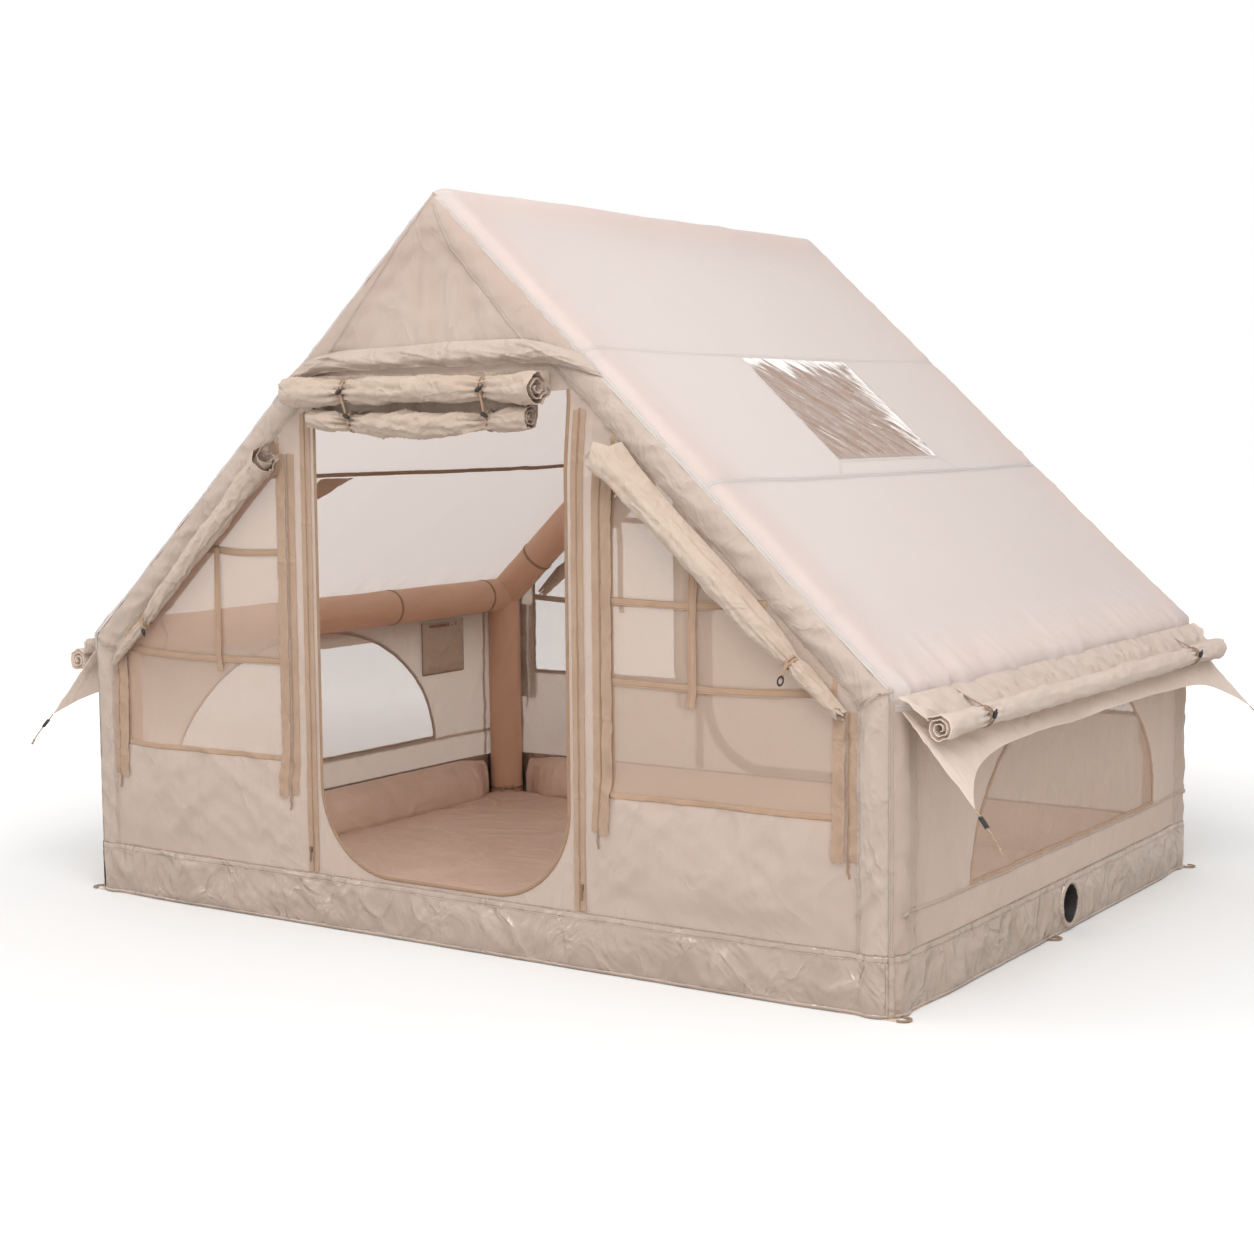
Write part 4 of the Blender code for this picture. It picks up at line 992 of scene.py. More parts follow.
# roof slopes, the right one with its skylight
def addRoof(side, label):
    place, flipped = roofPlace(side), side > 0
    end, centre, half = tent["roofEnd"], skylight["centre"], skylight["half"]
    top, bottom = skylight["top"], skylight["bottom"]
    window = rectangle(centre - half, centre + half, top, bottom)
    sewPanel(f"roof{label}", rectangle(-end, end, roofStart, roofStop), place, "roofCloth",
             "roof_cloth", f"roof_{label.lower()}", ["ridgeBeam", "frontArch", "rearArch"],
             [window] if side > 0 else [], cell=0.013, flipped=flipped)
    if side < 0:
        return

    def filmPlace(y, run, w):
        edge = np.minimum(half - np.abs(y - centre), np.minimum(run - top, bottom - run))
        waves = creased(*turned(y, run, filmLook["slant"], *filmLook["wave"]), 78, 3)
        return place(y, run, w + filmLook["waves"] * waves * np.clip(edge / 0.04, 0, 1))

    sewPanel("skylightFilm", window, filmPlace, "film", "clear_film", "skylight",
             [f"roof{label}"], cell=0.008, thick=0.0004, flipped=flipped)


for side, label in bothSides:
    addRoof(side, label)
print("roof laid")


# side walls with their arched windows
sideWindow = {"half": 0.72, "centre": 0.04, "sill": 0.28, "height": 0.49, "wallTop": 0.84,
              "wallEnd": 1.1377}


def archOutline(side, grow=0.0):
    half, height = sideWindow["half"] + grow, sideWindow["height"] + grow
    return [(side * sideWindow["centre"] + half * math.cos(turn),
             sideWindow["sill"] + height * math.sin(turn))
            for turn in np.linspace(0, math.pi, 49)]


def addSide(side, label):
    place, flipped, lower = sidePlace(side), side < 0, label.lower()
    end, arch = sideWindow["wallEnd"], archOutline(side)
    sewPanel(f"sideWall{label}", rectangle(-end, end, skirtTop, sideWindow["wallTop"]), place,
             "canvas", "canvas", f"side_wall_{lower}", [f"eaveBeam{label}"], [arch],
             flipped=flipped)
    sewPanel(f"sideNet{label}", arch, place, "net", "insect_mesh", f"side_window_{lower}",
             [f"sideWall{label}"], flipped=flipped, **netCut)


for side, label in bothSides:
    addSide(side, label)
print("side walls sewn")


# tub floor
port = {"centre": 0.03, "height": 0.085, "radius": 0.058}


def circleOutline(centre, height, radius, steps=40):
    return [(centre + radius * math.cos(turn), height + radius * math.sin(turn))
            for turn in np.linspace(0, 2 * math.pi, steps, endpoint=False)]


for face, half in skirtHalves.items():
    sewPanel(f"{face}Skirt", rectangle(-half, half, skirtLook["foot"], skirtLook["top"]),
             skirtPlace(face), "skirtCloth", "coated_skirt", f"skirt_{face}", ["groundSheet"],
             [circleOutline(**port)] if face == "right" else [], cell=0.009)


ground = {"halfX": 1.4925, "halfY": 1.133, "edgeX": 1.49, "edgeY": 1.13, "puff": 0.011,
          "puffAt": 0.09, "puffHalf": 0.07, "swell": 0.25, "folds": 0.004, "fold": 0.28,
          "thick": 0.0016}


def groundPlace(x, y, w):
    edge = np.minimum(ground["edgeX"] - np.abs(x), ground["edgeY"] - np.abs(y))
    swell, fold = ground["swell"], ground["fold"]
    puff = ground["puff"] * np.exp(-((edge - ground["puffAt"]) / ground["puffHalf"]) ** 2)
    puff = puff * (0.5 + 0.5 * creased(x / swell, y / swell, 41, 2))
    folds = ground["folds"] * (1 + creased(x / fold, y / fold, 43)) * eased(edge, 0.01, 0.08)
    return np.stack([x, y, ground["thick"] + w + np.clip(puff, 0, None) * eased(edge, 0, 0.03)
                     + np.clip(folds, 0, None)], 1)


sewPanel("groundSheet", rectangle(-ground["halfX"], ground["halfX"], -ground["halfY"],
                                  ground["halfY"]), groundPlace,
         "floorCloth", "floor_cloth", "groundsheet", (), held="laid", cell=0.02,
         thick=ground["thick"])
print("tub floor laid")


# air frame: two bent arches and three beams between them
airLook = {"radius": 0.0672, "sides": 56, "step": 0.02, "pinch": 0.0045, "pinchReach": 0.05,
           "pleats": 11, "lumps": 0.0016, "footZ": 0.006, "beamHalf": 1.03}


# a tube on a bent path in the plane that stands square to across, mitred at its bends
def airTube(name, path, across, seed):
    path = [Vector(spot) for spot in path]
    across = Vector(across)
    rows = airLook["sides"]
    ring = np.linspace(0, 2 * math.pi, rows + 1)
    parts, alongs = [], []
    walked = 0.0
    for i, (low, high) in enumerate(zip(path, path[1:])):
        way = (high - low).normalized()
        length = (high - low).length
        out = across.cross(way)
        leans = []
        for j, sign in ((i, 1), (i + 1, -1)):
            if 0 < j < len(path) - 1:
                before = (path[j] - path[j - 1]).normalized()
                after = (path[j + 1] - path[j]).normalized()
                bend = math.atan2(across.dot(before.cross(after)), before.dot(after))
                leans.append(-sign * math.tan(bend / 2))
            else:
                leans.append(0.0)
        count = max(4, int(length / airLook["step"]))
        for step in range(count + 1 if i == len(path) - 2 else count):
            share = step / count
            gone = walked + share * length
            near = min(share * length if i else 9, (1 - share) * length if i < len(path) - 2 else 9)
            folds = creased(ring / (2 * math.pi) * airLook["pleats"],
                            np.full(rows + 1, gone / 0.3), seed, 2)
            swell = creased(np.cos(ring) * 1.5 + 3, np.sin(ring) * 1.5 + gone / 0.25, seed + 5, 2)
            folds[-1], swell[-1] = folds[0], swell[0]
            pinch = airLook["pinch"] * math.exp(-near / airLook["pinchReach"])
            radius = airLook["radius"] + pinch * (folds - 0.6) + airLook["lumps"] * swell
            a, b = radius * np.cos(ring), radius * np.sin(ring)
            t = share * (length + leans[1] * a) + (1 - share) * (leans[0] * a)
            parts.append(np.array(low)[None] + np.outer(t, way) + np.outer(a, out)
                         + np.outer(b, across))
            alongs.append(gone)
        walked += length
    piece = addGrid(name, len(parts) - 1, rows)
    column, row = gridSteps(piece, len(parts) - 1, rows)
    writeFlat(piece, np.array(alongs)[column], row / rows * 2 * math.pi * airLook["radius"])
    writePoints(piece, np.array(parts)[column, row])
    closeTube(piece)
    return piece


eaveZ, ridgeZ = 0.84544, 2.15967
for name, y, nodes in (("frontArch", -tent["tubeY"], "front"), ("rearArch", tent["tubeY"], "rear")):
    left, right, foot = -tent["tubeX"], tent["tubeX"], airLook["footZ"]
    bends = [(left, y, foot), (left, y, eaveZ), (0, y, ridgeZ), (right, y, eaveZ),
             (right, y, foot)]
    made = airTube(name, bends, (0, 1, 0), 1100)
    dress(made, finishes["tubeCloth"], angle=80, nodes=[
        f"{kind}_{nodes}_{side}" for kind in ("post", "rafter") for side in ("left", "right")])
for name, x, z, node in (("eaveBeamLeft", -tent["tubeX"], eaveZ, "eave_beam_left"),
                         ("eaveBeamRight", tent["tubeX"], eaveZ, "eave_beam_right"),
                         ("ridgeBeam", 0, ridgeZ, "ridge_beam")):
    made = airTube(name, [(x, end * airLook["beamHalf"], z) for end in (-1, 1)], (1, 0, 0), 1150)
    dress(made, finishes["tubeCloth"], angle=80, nodes=[node])
print("air frame blown up")


# rolled cloth: wound round itself, pinched where it is tied
rollLook = {"cloth": 0.0019, "turns": 2.6, "core": 0.2, "steps": 100, "pleats": 9, "pull": 0.27,
            "lumps": 0.19, "swells": 0.15, "lap": 0.10, "lapDeg": -25.0, "twist": 0.0,
            "ragged": (0.0, 0.0), "seated": True, "columns": 150}


def softTable(shares, table):
    places, sizes = zip(*table)
    return np.interp(shares, places, sizes)


# middles and radii run along the roll; outward is where its front lies; ties are shares
def woundRoll(name, ends, radius, table, outward, startDeg, winds, tail, ties, seed,
              sag=0.0, up=(0, 0, 1), look=rollLook):
    up, outward, columns = np.array(up, float), np.array(outward, float), look["columns"]
    shares = np.linspace(0, 1, columns + 1)
    low, high = np.array(ends[0]), np.array(ends[1])
    length = float(np.linalg.norm(high - low))
    size = radius * softTable(shares, table)
    middle = low + np.outer(shares, high - low)
    middle = middle - np.outer(sag * (1 - (2 * shares - 1) ** 2), (0, 0, 1))
    if look["seated"]:
        middle = middle + np.outer(size, outward)
    tailSpots = tail(middle, size)
    steps, tails = look["steps"], len(tailSpots)
    piece = addGrid(name, columns, steps + tails)
    turns = np.linspace(0, 1, steps + 1)
    angle = math.radians(startDeg) + winds * 2 * math.pi * look["turns"] * turns
    angle = angle[None] + look["twist"] * (shares[:, None] - 0.5)
    wound = size[:, None] * (1 - (1 - look["core"]) * turns)[None]
    pull = sum(np.exp(-((shares - tie) * length / 0.06) ** 2) for tie in ties)
    phase = 2.5 * drift(shares * length / 0.12, 0 * shares, seed)
    pleat = np.cos(look["pleats"] * angle + phase[:, None]) * pull[:, None] * look["pull"]
    along = shares[:, None] * length
    lumps = creased(along / 0.085 + 3 + np.cos(angle) * 0.9, np.sin(angle) * 1.3, seed + 2, 2)
    swells = creased(along / 0.22 + np.cos(angle), np.sin(angle) * 1.2 + 4, seed + 6, 2)
    lapped = ((angle - math.radians(look["lapDeg"]) + 1.2 * drift(along / 0.3, along * 0, seed + 9))
              / (2 * math.pi)) % 1
    wound = wound * (1 + pleat + look["lumps"] * lumps + look["swells"] * swells
                     + look["lap"] * (0.5 - lapped))
    spots = (middle[:, None] + wound[..., None] * (
        np.cos(angle)[..., None] * outward + np.sin(angle)[..., None] * up))
    rag = drift(angle * 1.1 + 20, along * 0, seed + 14) - 0.5
    slip = look["ragged"][0] * np.exp(-along / 0.07) + look["ragged"][1] * np.exp(
        -(length - along) / 0.07)
    spots = spots + (slip * rag * 2)[..., None] * (high - low) / length
    spots = np.concatenate([np.stack(tailSpots, 1), spots], 1)
    gaps = np.linalg.norm(np.diff(spots, axis=1), axis=2)
    across = np.concatenate([np.zeros((columns + 1, 1)), np.cumsum(gaps, 1)], 1)
    column, row = gridSteps(piece, columns, steps + tails)
    sewn(piece, shares[column] * length, across[column, row], spots[column, row], look["cloth"])
    return piece, length, float(across[:, -1].mean())


doorTable = (
    (0.00, 0.86), (0.05, 0.92), (0.12, 0.88), (0.19, 0.74), (0.235, 0.52), (0.28, 0.72),
    (0.38, 0.86), (0.52, 0.84), (0.66, 0.84), (0.735, 0.70), (0.785, 0.52), (0.83, 0.74),
    (0.90, 0.94), (1.00, 1.00))
meshTable = (
    (0.00, 0.86), (0.08, 1.02), (0.14, 0.86), (0.19, 0.62), (0.25, 0.94), (0.45, 1.27),
    (0.58, 1.25), (0.72, 0.98), (0.79, 0.62), (0.85, 0.84), (0.93, 1.10), (1.00, 1.06))
sideTable = (
    (0.00, 0.93), (0.02, 0.90), (0.07, 0.84), (0.105, 0.72), (0.123, 0.52), (0.145, 0.72),
    (0.25, 0.84), (0.40, 0.76), (0.575, 0.84), (0.725, 0.78), (0.855, 0.72), (0.877, 0.52),
    (0.895, 0.74), (0.94, 0.86), (1.00, 0.92))
frontRolls = {
    "doorRoll": dict(table=doorTable, left=-0.530, right=0.420, height=1.655, radius=0.050,
                     seat=1.1473, sag=-0.006, ties=(0.235, 0.785),
                     slot="canvas", node="door_roll", seed=1301),
    "netDoorRoll": dict(table=meshTable, left=-0.450, right=0.380, height=1.578, radius=0.034,
                        seat=1.1416, sag=0.020, ties=(0.19, 0.79),
                        slot="insect_mesh", node="mesh_door_roll", seed=1331),
}


def addFrontRoll(name, look):
    seat = look["seat"]

    def tail(middle, size):
        top = middle.copy()
        top[:, 1], top[:, 2] = -seat, tent["gableBase"] - 0.006
        return [top]

    made, length, width = woundRoll(
        name, [(look[end], -seat, look["height"]) for end in ("left", "right")], look["radius"],
        look["table"], (0, -1, 0), 180, 1, tail, look["ties"], look["seed"], look["sag"])
    dress(made, finishes["rollCloth"], nodes=[look["node"]], angle=80)


for name, look in frontRolls.items():
    addFrontRoll(name, look)

sideCover = {"out": 1.600, "height": 0.772, "half": 1.10, "radius": 0.042, "hem": 1.5016,
             "hemTop": 0.852, "ties": (0.123, 0.877), "tieAt": 0.829, "crumple": 0.013,
             "bulge": 0.008, "spread": 0.038}
sideRollLook = dict(rollLook, columns=240, seated=False, pull=0.24, lumps=0.11, swells=0.09,
                    lap=0.05, lapDeg=200.0)
for side, label in bothSides:
    # the cover hangs crumpled from the roof's hem before it winds up
    def sideTail(middle, size, side=side):
        spots = []
        length = np.linspace(0, 2.2, len(middle))
        for step, share in enumerate(np.linspace(0, 1, 9)):
            row = middle.copy()
            hem, top = sideCover["hem"], sideCover["hemTop"]
            out = share**1.2 * (np.abs(middle[:, 0]) - 0.87 * size - hem)
            drop = top + (middle[:, 2] + 0.5 * size - top) * share
            crumple = sideCover["crumple"] * math.sin(math.pi * min(1.0, share * 1.1)) * creased(
                *turned(length, np.full_like(length, share * 0.08), 40, 0.06, 0.045), 1380, 3)
            row[:, 0] = side * (hem + out + sideCover["bulge"] * math.sin(math.pi * share)
                                + np.clip(crumple + 0.003, 0, None))
            row[:, 1] = middle[:, 1] * (1 + sideCover["spread"] * (1 - share))
            row[:, 2] = drop + crumple * 0.6
            spots.append(row)
        return spots

    ends = [(side * sideCover["out"], y, sideCover["height"])
            for y in (-sideCover["half"], sideCover["half"])]
    made, length, width = woundRoll(
        f"sideRoll{label}", ends, sideCover["radius"], sideTable, (side, 0, 0), 150, -1, sideTail,
        sideCover["ties"], 1360 + side, look=sideRollLook)
    dress(made, finishes["awningCloth"], nodes=[f"side_roll_{label.lower()}"], angle=80)
print("covers rolled up")


# awnings under the eaves
awning = {"root": 1.5014, "lean": 42.0, "mid": 0.165, "tip": 0.31, "end": 0.03, "flare": 0.01,
          "fold": 0.009, "hollow": 0.0036, "pulls": 0.004, "thick": 0.0014}


def awningPoints(along, across):
    lean = math.radians(awning["lean"])
    out = np.array((math.sin(lean), 0, -math.cos(lean)))
    lift = np.array((math.cos(lean), 0, math.sin(lean)))
    drop = (awning["mid"] + (awning["tip"] - awning["mid"]) * np.abs(along) ** 7) * across
    y = along * (tent["wallOut"] - awning["end"] + awning["flare"] * across)
    wave = 0.6 * np.sin(along * 9.5) + 0.4 * np.sin(along * 17.0 + 1.2)
    fold = awning["fold"] * wave * across * (1 - np.abs(along) ** 6)
    fold = fold + awning["hollow"] * np.sin(np.pi * across) * (1 - np.abs(along) ** 4)
    ray = np.arctan2(across * 0.3, (1.02 - np.abs(along)) + 0.02)
    fold = fold + awning["pulls"] * creased(ray / 0.12, np.sign(along) * 3 + 5, 1401, 2) * np.sin(
        np.pi * np.clip(across, 0, 1)) * eased(np.abs(along), 0.1, 0.5)
    fold = fold + 0.002 * creased(along / 0.07, across / 0.5, 1405, 2) * across
    root = np.stack([np.full_like(along, awning["root"]), y, np.full_like(along, tent["hem"])], 1)
    return root + np.outer(drop, out) + np.outer(fold, lift)


for side, label in bothSides:
    piece = addGrid(f"awning{label}", 200, 26)
    spots = readPoints(piece)
    along, across = spots[:, 0] * 2, spots[:, 1] + 0.5
    writeFlat(piece, along * 1.12, across * 0.25)
    writePoints(piece, awningPoints(along, across) * (side, 1, 1))
    if side > 0:
        piece.data.flip_normals()
    thickened(piece, awning["thick"])
    dress(piece, finishes["awningCloth"], f"{label.lower()}_awning",
          [f"awning_{label.lower()}"], angle=80)
print("awnings hung")


# strips sewn on the cloth: seams, tapes, zip flaps and straps
def resampled(path, step):
    spots = np.array(path, float)
    walked = np.concatenate([[0], np.cumsum(np.hypot(*np.diff(spots, axis=0).T))])
    at = np.linspace(0, walked[-1], max(2, int(math.ceil(walked[-1] / step))) + 1)
    return np.stack([np.interp(at, walked, spots[:, i]) for i in (0, 1)], 1), at


# path runs on the flat cloth; crown lifts the middle, rise one edge, ruffle all of it
def strip(path, half, place, lift=0.0013, thick=0.0010, crown=0.0, ruffle=0.0, wobble=0.0,
          rise=0.0, seed=0, cells=4, step=0.012):
    spots, at = resampled(path, step)
    way = np.gradient(spots, axis=0)
    way = way / np.hypot(way[:, 0], way[:, 1])[:, None]
    piece = addGrid("strip", len(at) - 1, cells)
    column, row = gridSteps(piece, len(at) - 1, cells)
    row = row / cells * 2 - 1
    shift = row * half + wobble * creased(at / 0.05, at * 0, seed + 1, 2)[column]
    u = spots[column, 0] - way[column, 1] * shift
    v = spots[column, 1] + way[column, 0] * shift
    lifts = ruffle * (1 + creased(at[column] / 0.045 + row, row * 0.5 + 4, seed, 2))
    lifts = lift + crown * (1 - row**2) + rise * (1 - row) / 2 + np.clip(lifts, 0, None)
    return sewn(piece, at[column], row * half, place(u, v, lifts), thick)


def trimPiece(name, finish, strips, body="tent"):
    piece = joined(name, strips)
    turnOut(piece)
    return dress(piece, finishes[finish], body, angle=60)


straps = {"half": 0.011, "rises": {1: (0.32, 0.545), -1: (0.305, 0.645)}, "upright": 0.265,
          "uprightFoot": 0.262, "uprightGap": 0.11, "uprightHalf": 0.0125}
trimLook = {"seam": 0.0075, "zipTape": 0.0085, "zipCoil": 0.0024, "gableSeam": {
    1: ((0.012, 2.205), (0.075, 2.052), (0.19, 1.925), (0.335, 1.775)),
    -1: ((0.014, 2.226), (0.173, 2.033), (0.335, 1.83), (0.385, 1.775))}}
placket = {"flap": 0.0175, "flapAt": 0.0135, "tape": 0.0150, "tapeAt": 0.0501, "coil": 0.0025,
           "coilAt": 0.0391, "drop": 0.115, "topGap": 0.06, "outerGap": 0.055, "pull": 0.042}
bandLook = {
    "left": -0.668, "right": 0.632, "bulge": 0.026, "folds": 0.0045, "thick": 0.0016,
    "top": ((-0.70, 1.66), (-0.620, 1.722), (-0.540, 1.757), (-0.396, 1.766), (0.066, 1.794),
            (0.40, 1.782), (0.54, 1.762), (0.64, 1.735)),
    "low": ((-0.70, 1.612), (-0.653, 1.655), (-0.540, 1.690), (-0.358, 1.708), (-0.089, 1.722),
            (0.245, 1.722), (0.52, 1.712), (0.64, 1.690))}


# soft folded band over the door, its ends under the roof's edge
def addBand(face):
    place = wallPlace(face)
    piece = addGrid(f"{wallNames[face]}Band", 190, 22)
    spots = readPoints(piece)
    along, down = spots[:, 0] + 0.5, 0.5 - spots[:, 1]
    x = bandLook["left"] + (bandLook["right"] - bandLook["left"]) * along
    top, low = (np.interp(x, *zip(*bandLook[key])) for key in ("top", "low"))
    z = top + (low - top) * down + 0.003 * creased(x / 0.11, x * 0 + 2, 51, 2) * down
    limit = (tent["apex"] - z) / tanPitch - 0.003
    x = np.clip(x, -limit, limit)
    ends = eased(along, 0, 0.10) * (1 - eased(along, 0.88, 1.0))
    bulge = np.sin(math.pi / 2 * np.minimum(down / 0.66, 1)) * (1 - 0.62 * eased(down, 0.66, 1.0))
    folds = creased(*turned(x, down * 0.07, 12, 0.24, 0.022), 55, 2)
    folds = folds + 0.5 * creased(*turned(x, down * 0.07, -25, 0.12, 0.035), 57, 2)
    lift = 0.0028 + bulge * (0.006 + ends * (bandLook["bulge"] - 0.006))
    lift = lift + bandLook["folds"] * (folds + 0.5) * (0.3 + 0.7 * ends) * eased(down, 0, 0.2)
    return sewn(piece, x, z, place(x, z, np.clip(lift, 0.0025, None)), bandLook["thick"])


def addTrim(face):
    place, name, seed = wallPlace(face), wallNames[face], 2000 + 100 * face
    top, wide = slopeX(base, tent["sleeve"]), trimLook["seam"]
    seams, tapes, plackets, pipes = [], [], [], []

    def sew(pieces, points, half, **how):
        points = [(side * x, z) for x, z in points][::side]
        pieces.append(strip(points, half, place, **how))

    for side in (1, -1):
        gableSeam = trimLook["gableSeam"][side]
        for points, half, step, how in (
                ([(top, base), (corner, sleeveLine(corner))], wide, 0,
                 dict(crown=0.0016, wobble=0.0008)),
                ([(corner, sleeveLine(corner)), (corner, skirtTop)], wide, 3,
                 dict(crown=0.0016, wobble=0.0008)),
                ([(corner - 0.004, 0.814), (1.4960, 0.874)], wide, 5,
                 dict(crown=0.0014, lift=0.0016)),
                ([(1.4935, 0.86), (1.4935, skirtTop)], 0.006, 7, dict(crown=0.0018, lift=0.0016)),
                (gableSeam, 0.006, 9, dict(crown=0.0015, wobble=0.001))):
            sew(seams, points, half, seed=seed + step + side, **how)
        sew(tapes, [(inX - 0.004, sill), (outX + 0.004, sill)], 0.008, crown=0.0006, lift=0.0018)
        sew(tapes, [(inX, sill), (inX, sleeveLine(inX) - 0.01)], 0.007, lift=0.0016)
        sew(tapes, [(outX, sill), (outX, sleeveLine(outX))], 0.007, lift=0.0016)
        for rise in straps["rises"][side]:
            height = sill + rise
            end = min(slopeX(height + 0.01, tent["sleeve"]), outX)
            sew(tapes, [(inX, height), ((inX + end) / 2, height - 0.006), (end, height)],
                straps["half"], lift=0.0030, ruffle=0.0008, seed=seed + 20, cells=6)
        x, foot = inX + straps["upright"], sill + straps["uprightFoot"]
        sew(tapes, [(x, sleeveLine(x) - straps["uprightGap"]), (x + 0.004, foot + 0.05),
                    (x - 0.004, foot)], straps["uprightHalf"], lift=0.0072, ruffle=0.0012,
            seed=seed + 23, cells=6)
        low = sill - placket["drop"]
        for edge, way, up in ((inX, -1, sleeveLine(inX) - placket["topGap"]),
                              (outX, 1, sleeveLine(outX + 0.034) - placket["outerGap"])):
            flapX, coilX, tapeX = (edge + way * placket[key]
                                   for key in ("flapAt", "coilAt", "tapeAt"))
            sew(plackets, [(tapeX, low + 0.004), (tapeX, up)], placket["tape"], lift=0.0016,
                ruffle=0.0009, wobble=0.0010, seed=seed + 30, cells=6)
            sew(plackets, [(flapX, low), (flapX, up)], placket["flap"], lift=0.0036,
                ruffle=0.0032, wobble=0.0016, rise=0.0022, seed=seed + 31, cells=10, step=0.009)
            sew(pipes, [(coilX, low + 0.006), (coilX, up)], placket["coil"], crown=0.0012,
                lift=0.0030, wobble=0.0004, seed=seed + 33, step=0.01)
            sew(pipes, [(coilX + 0.003, low - placket["pull"]), (coilX - 0.002, low - 0.02),
                        (coilX, low + 0.008)], 0.0032, lift=0.0050, wobble=0.0012,
                seed=seed + 35, step=0.006)
        for x in (zipX - 0.0105, zipX + 0.0125):
            sew(plackets, [(x, skirtTop + 0.004), (x, base - 0.125)], trimLook["zipTape"],
                lift=0.0024, crown=0.0008, ruffle=0.0009, wobble=0.0009, seed=seed + 41, cells=5)
        sew(pipes, [(zipX + 0.0012, skirtTop + 0.006), (zipX + 0.0012, base - 0.12)],
            trimLook["zipCoil"], crown=0.0014, lift=0.0036, seed=seed + 43, step=0.01)
    pipes.append(strip(doorway(0.003), 0.0055, place, crown=0.0035, lift=0.0006, cells=6,
                       step=0.01))
    if face > 0:  # the rear door's own zip runs round it between two tapes
        for grow in (-0.0125, 0.0165):
            tapes.append(strip(doorway(grow), trimLook["zipTape"], place, lift=0.0022,
                               crown=0.0008, cells=6, step=0.01))
    trimPiece(f"{name}Seams", "canvasSeam", seams)
    trimPiece(f"{name}Tapes", "webbingTape", tapes)
    trimPiece(f"{name}Plackets", "flapClothPlacket", plackets)
    trimPiece(f"{name}Piping", "piping", pipes)
    trimPiece(f"{name}Band", "sleeveCloth", [addBand(face)])
    print(f"{name} trim sewn on")


for face in (-1, 1):
    addTrim(face)


def addSideTrim(side, label):
    place, seed, wide = sidePlace(side), 2500 + side, trimLook["seam"]
    arch = archOutline(side, 0.004)
    tapes = [strip(arch, 0.0065, place, lift=0.0014, crown=0.0012, cells=4),
             strip([arch[-1], arch[0]], 0.008, place, lift=0.0016, crown=0.0006)]
    seams = [strip([(y, sideWindow["wallTop"] - 0.01), (y, skirtTop)], wide, place, crown=0.0016,
                   wobble=0.0008, seed=seed) for y in (-0.995, 0.995)]
    seams.append(strip([(-1.10, 0.272), (1.10, 0.272)], 0.0065, place, crown=0.0014,
                       wobble=0.0008, seed=seed + 5))
    trimPiece(f"side{label}Tapes", "webbingTape", tapes)
    trimPiece(f"side{label}Seams", "canvasSeam", seams)


def addRoofTrim(side, label):
    place, seed, wide = roofPlace(side), 2600 + side, trimLook["seam"]
    end = tent["roofEnd"]
    seams = [strip([(-end + 0.004, run), (end - 0.004, run)], wide, place, lift=0.0009,
                   crown=0.0010, thick=0.0008, wobble=0.0004, seed=seed)
             for run in roofLook["seams"]]
    for sign in (-1, 1):
        seams.append(strip([(sign * (end - 0.012), 0.06), (sign * (end - 0.012), roofStop - 0.01)],
                           0.0070, place, lift=0.0010, crown=0.0012, thick=0.0008, wobble=0.0006,
                           seed=seed + 3 + sign))
    seams.append(strip([(-end + 0.01, roofStop - 0.014), (end - 0.01, roofStop - 0.014)], wide,
                       place, lift=0.0012, crown=0.0010, wobble=0.0006, seed=seed + 7))
    if side > 0:
        left, right = (skylight["centre"] + sign * (skylight["half"] + 0.005) for sign in (-1, 1))
        up, low = skylight["top"] - 0.005, skylight["bottom"] + 0.005
        for ends in ([(left, low), (right, low)],
                     [(left, up), (left, low)], [(right, up), (right, low)],
                     [(left, low), (left - 0.06, low + 0.05)],
                     [(right, low), (right + 0.06, low + 0.05)]):
            seams.append(strip(ends, 0.0065, place, lift=0.0012, crown=0.0008, thick=0.0008,
                               wobble=0.0006, seed=seed + 11))
    trimPiece(f"roof{label}Seams", "roofClothSeam", seams)


def addSkirtTrim():
    strips, foots = [], []
    for face, half in skirtHalves.items():
        place, half = skirtPlace(face), round(half - 0.0006, 4)
        strips.append(strip([(-half, 0.158), (half, 0.158)], 0.0105, place, lift=0.0014,
                            crown=0.0012, wobble=0.0008, seed=2700))
        foots.append(strip([(-half, 0.0075), (half, 0.0075)], 0.0045, place, lift=0.0010,
                           crown=0.0030, wobble=0.0008, seed=2710, cells=5))
        strips.append(strip([(half - 0.010, 0.150), (half - 0.010, 0.004)], 0.0075, place,
                            lift=0.0014, crown=0.0016, seed=2720))
    corners = []
    for x in (-1, 1):
        for y in (-1, 1):
            for radius, low, high, half, pieces in ((0.0735, 0.160, 0.835, 0.0075, corners),
                                                    (0.0756, 0.002, 0.166, 0.0095, strips)):
                off = radius * math.sin(wrap["turn"])
                spot = (x * (tent["tubeX"] + off), y * (tent["tubeY"] + off))
                pieces.append(ribbon([(*spot, low), (*spot, high)], (x, y, 0), half, 0.0012,
                                     60, 0.0006))
    trimPiece("cornerSeams", "canvasSeam", corners)
    trimPiece("skirtTapes", "skirtClothTape", strips)
    trimPiece("skirtPiping", "skirtCloth", foots)


for side, label in bothSides:
    addSideTrim(side, label)
    addRoofTrim(side, label)
addSkirtTrim()
print("sides, roof and skirts trimmed")


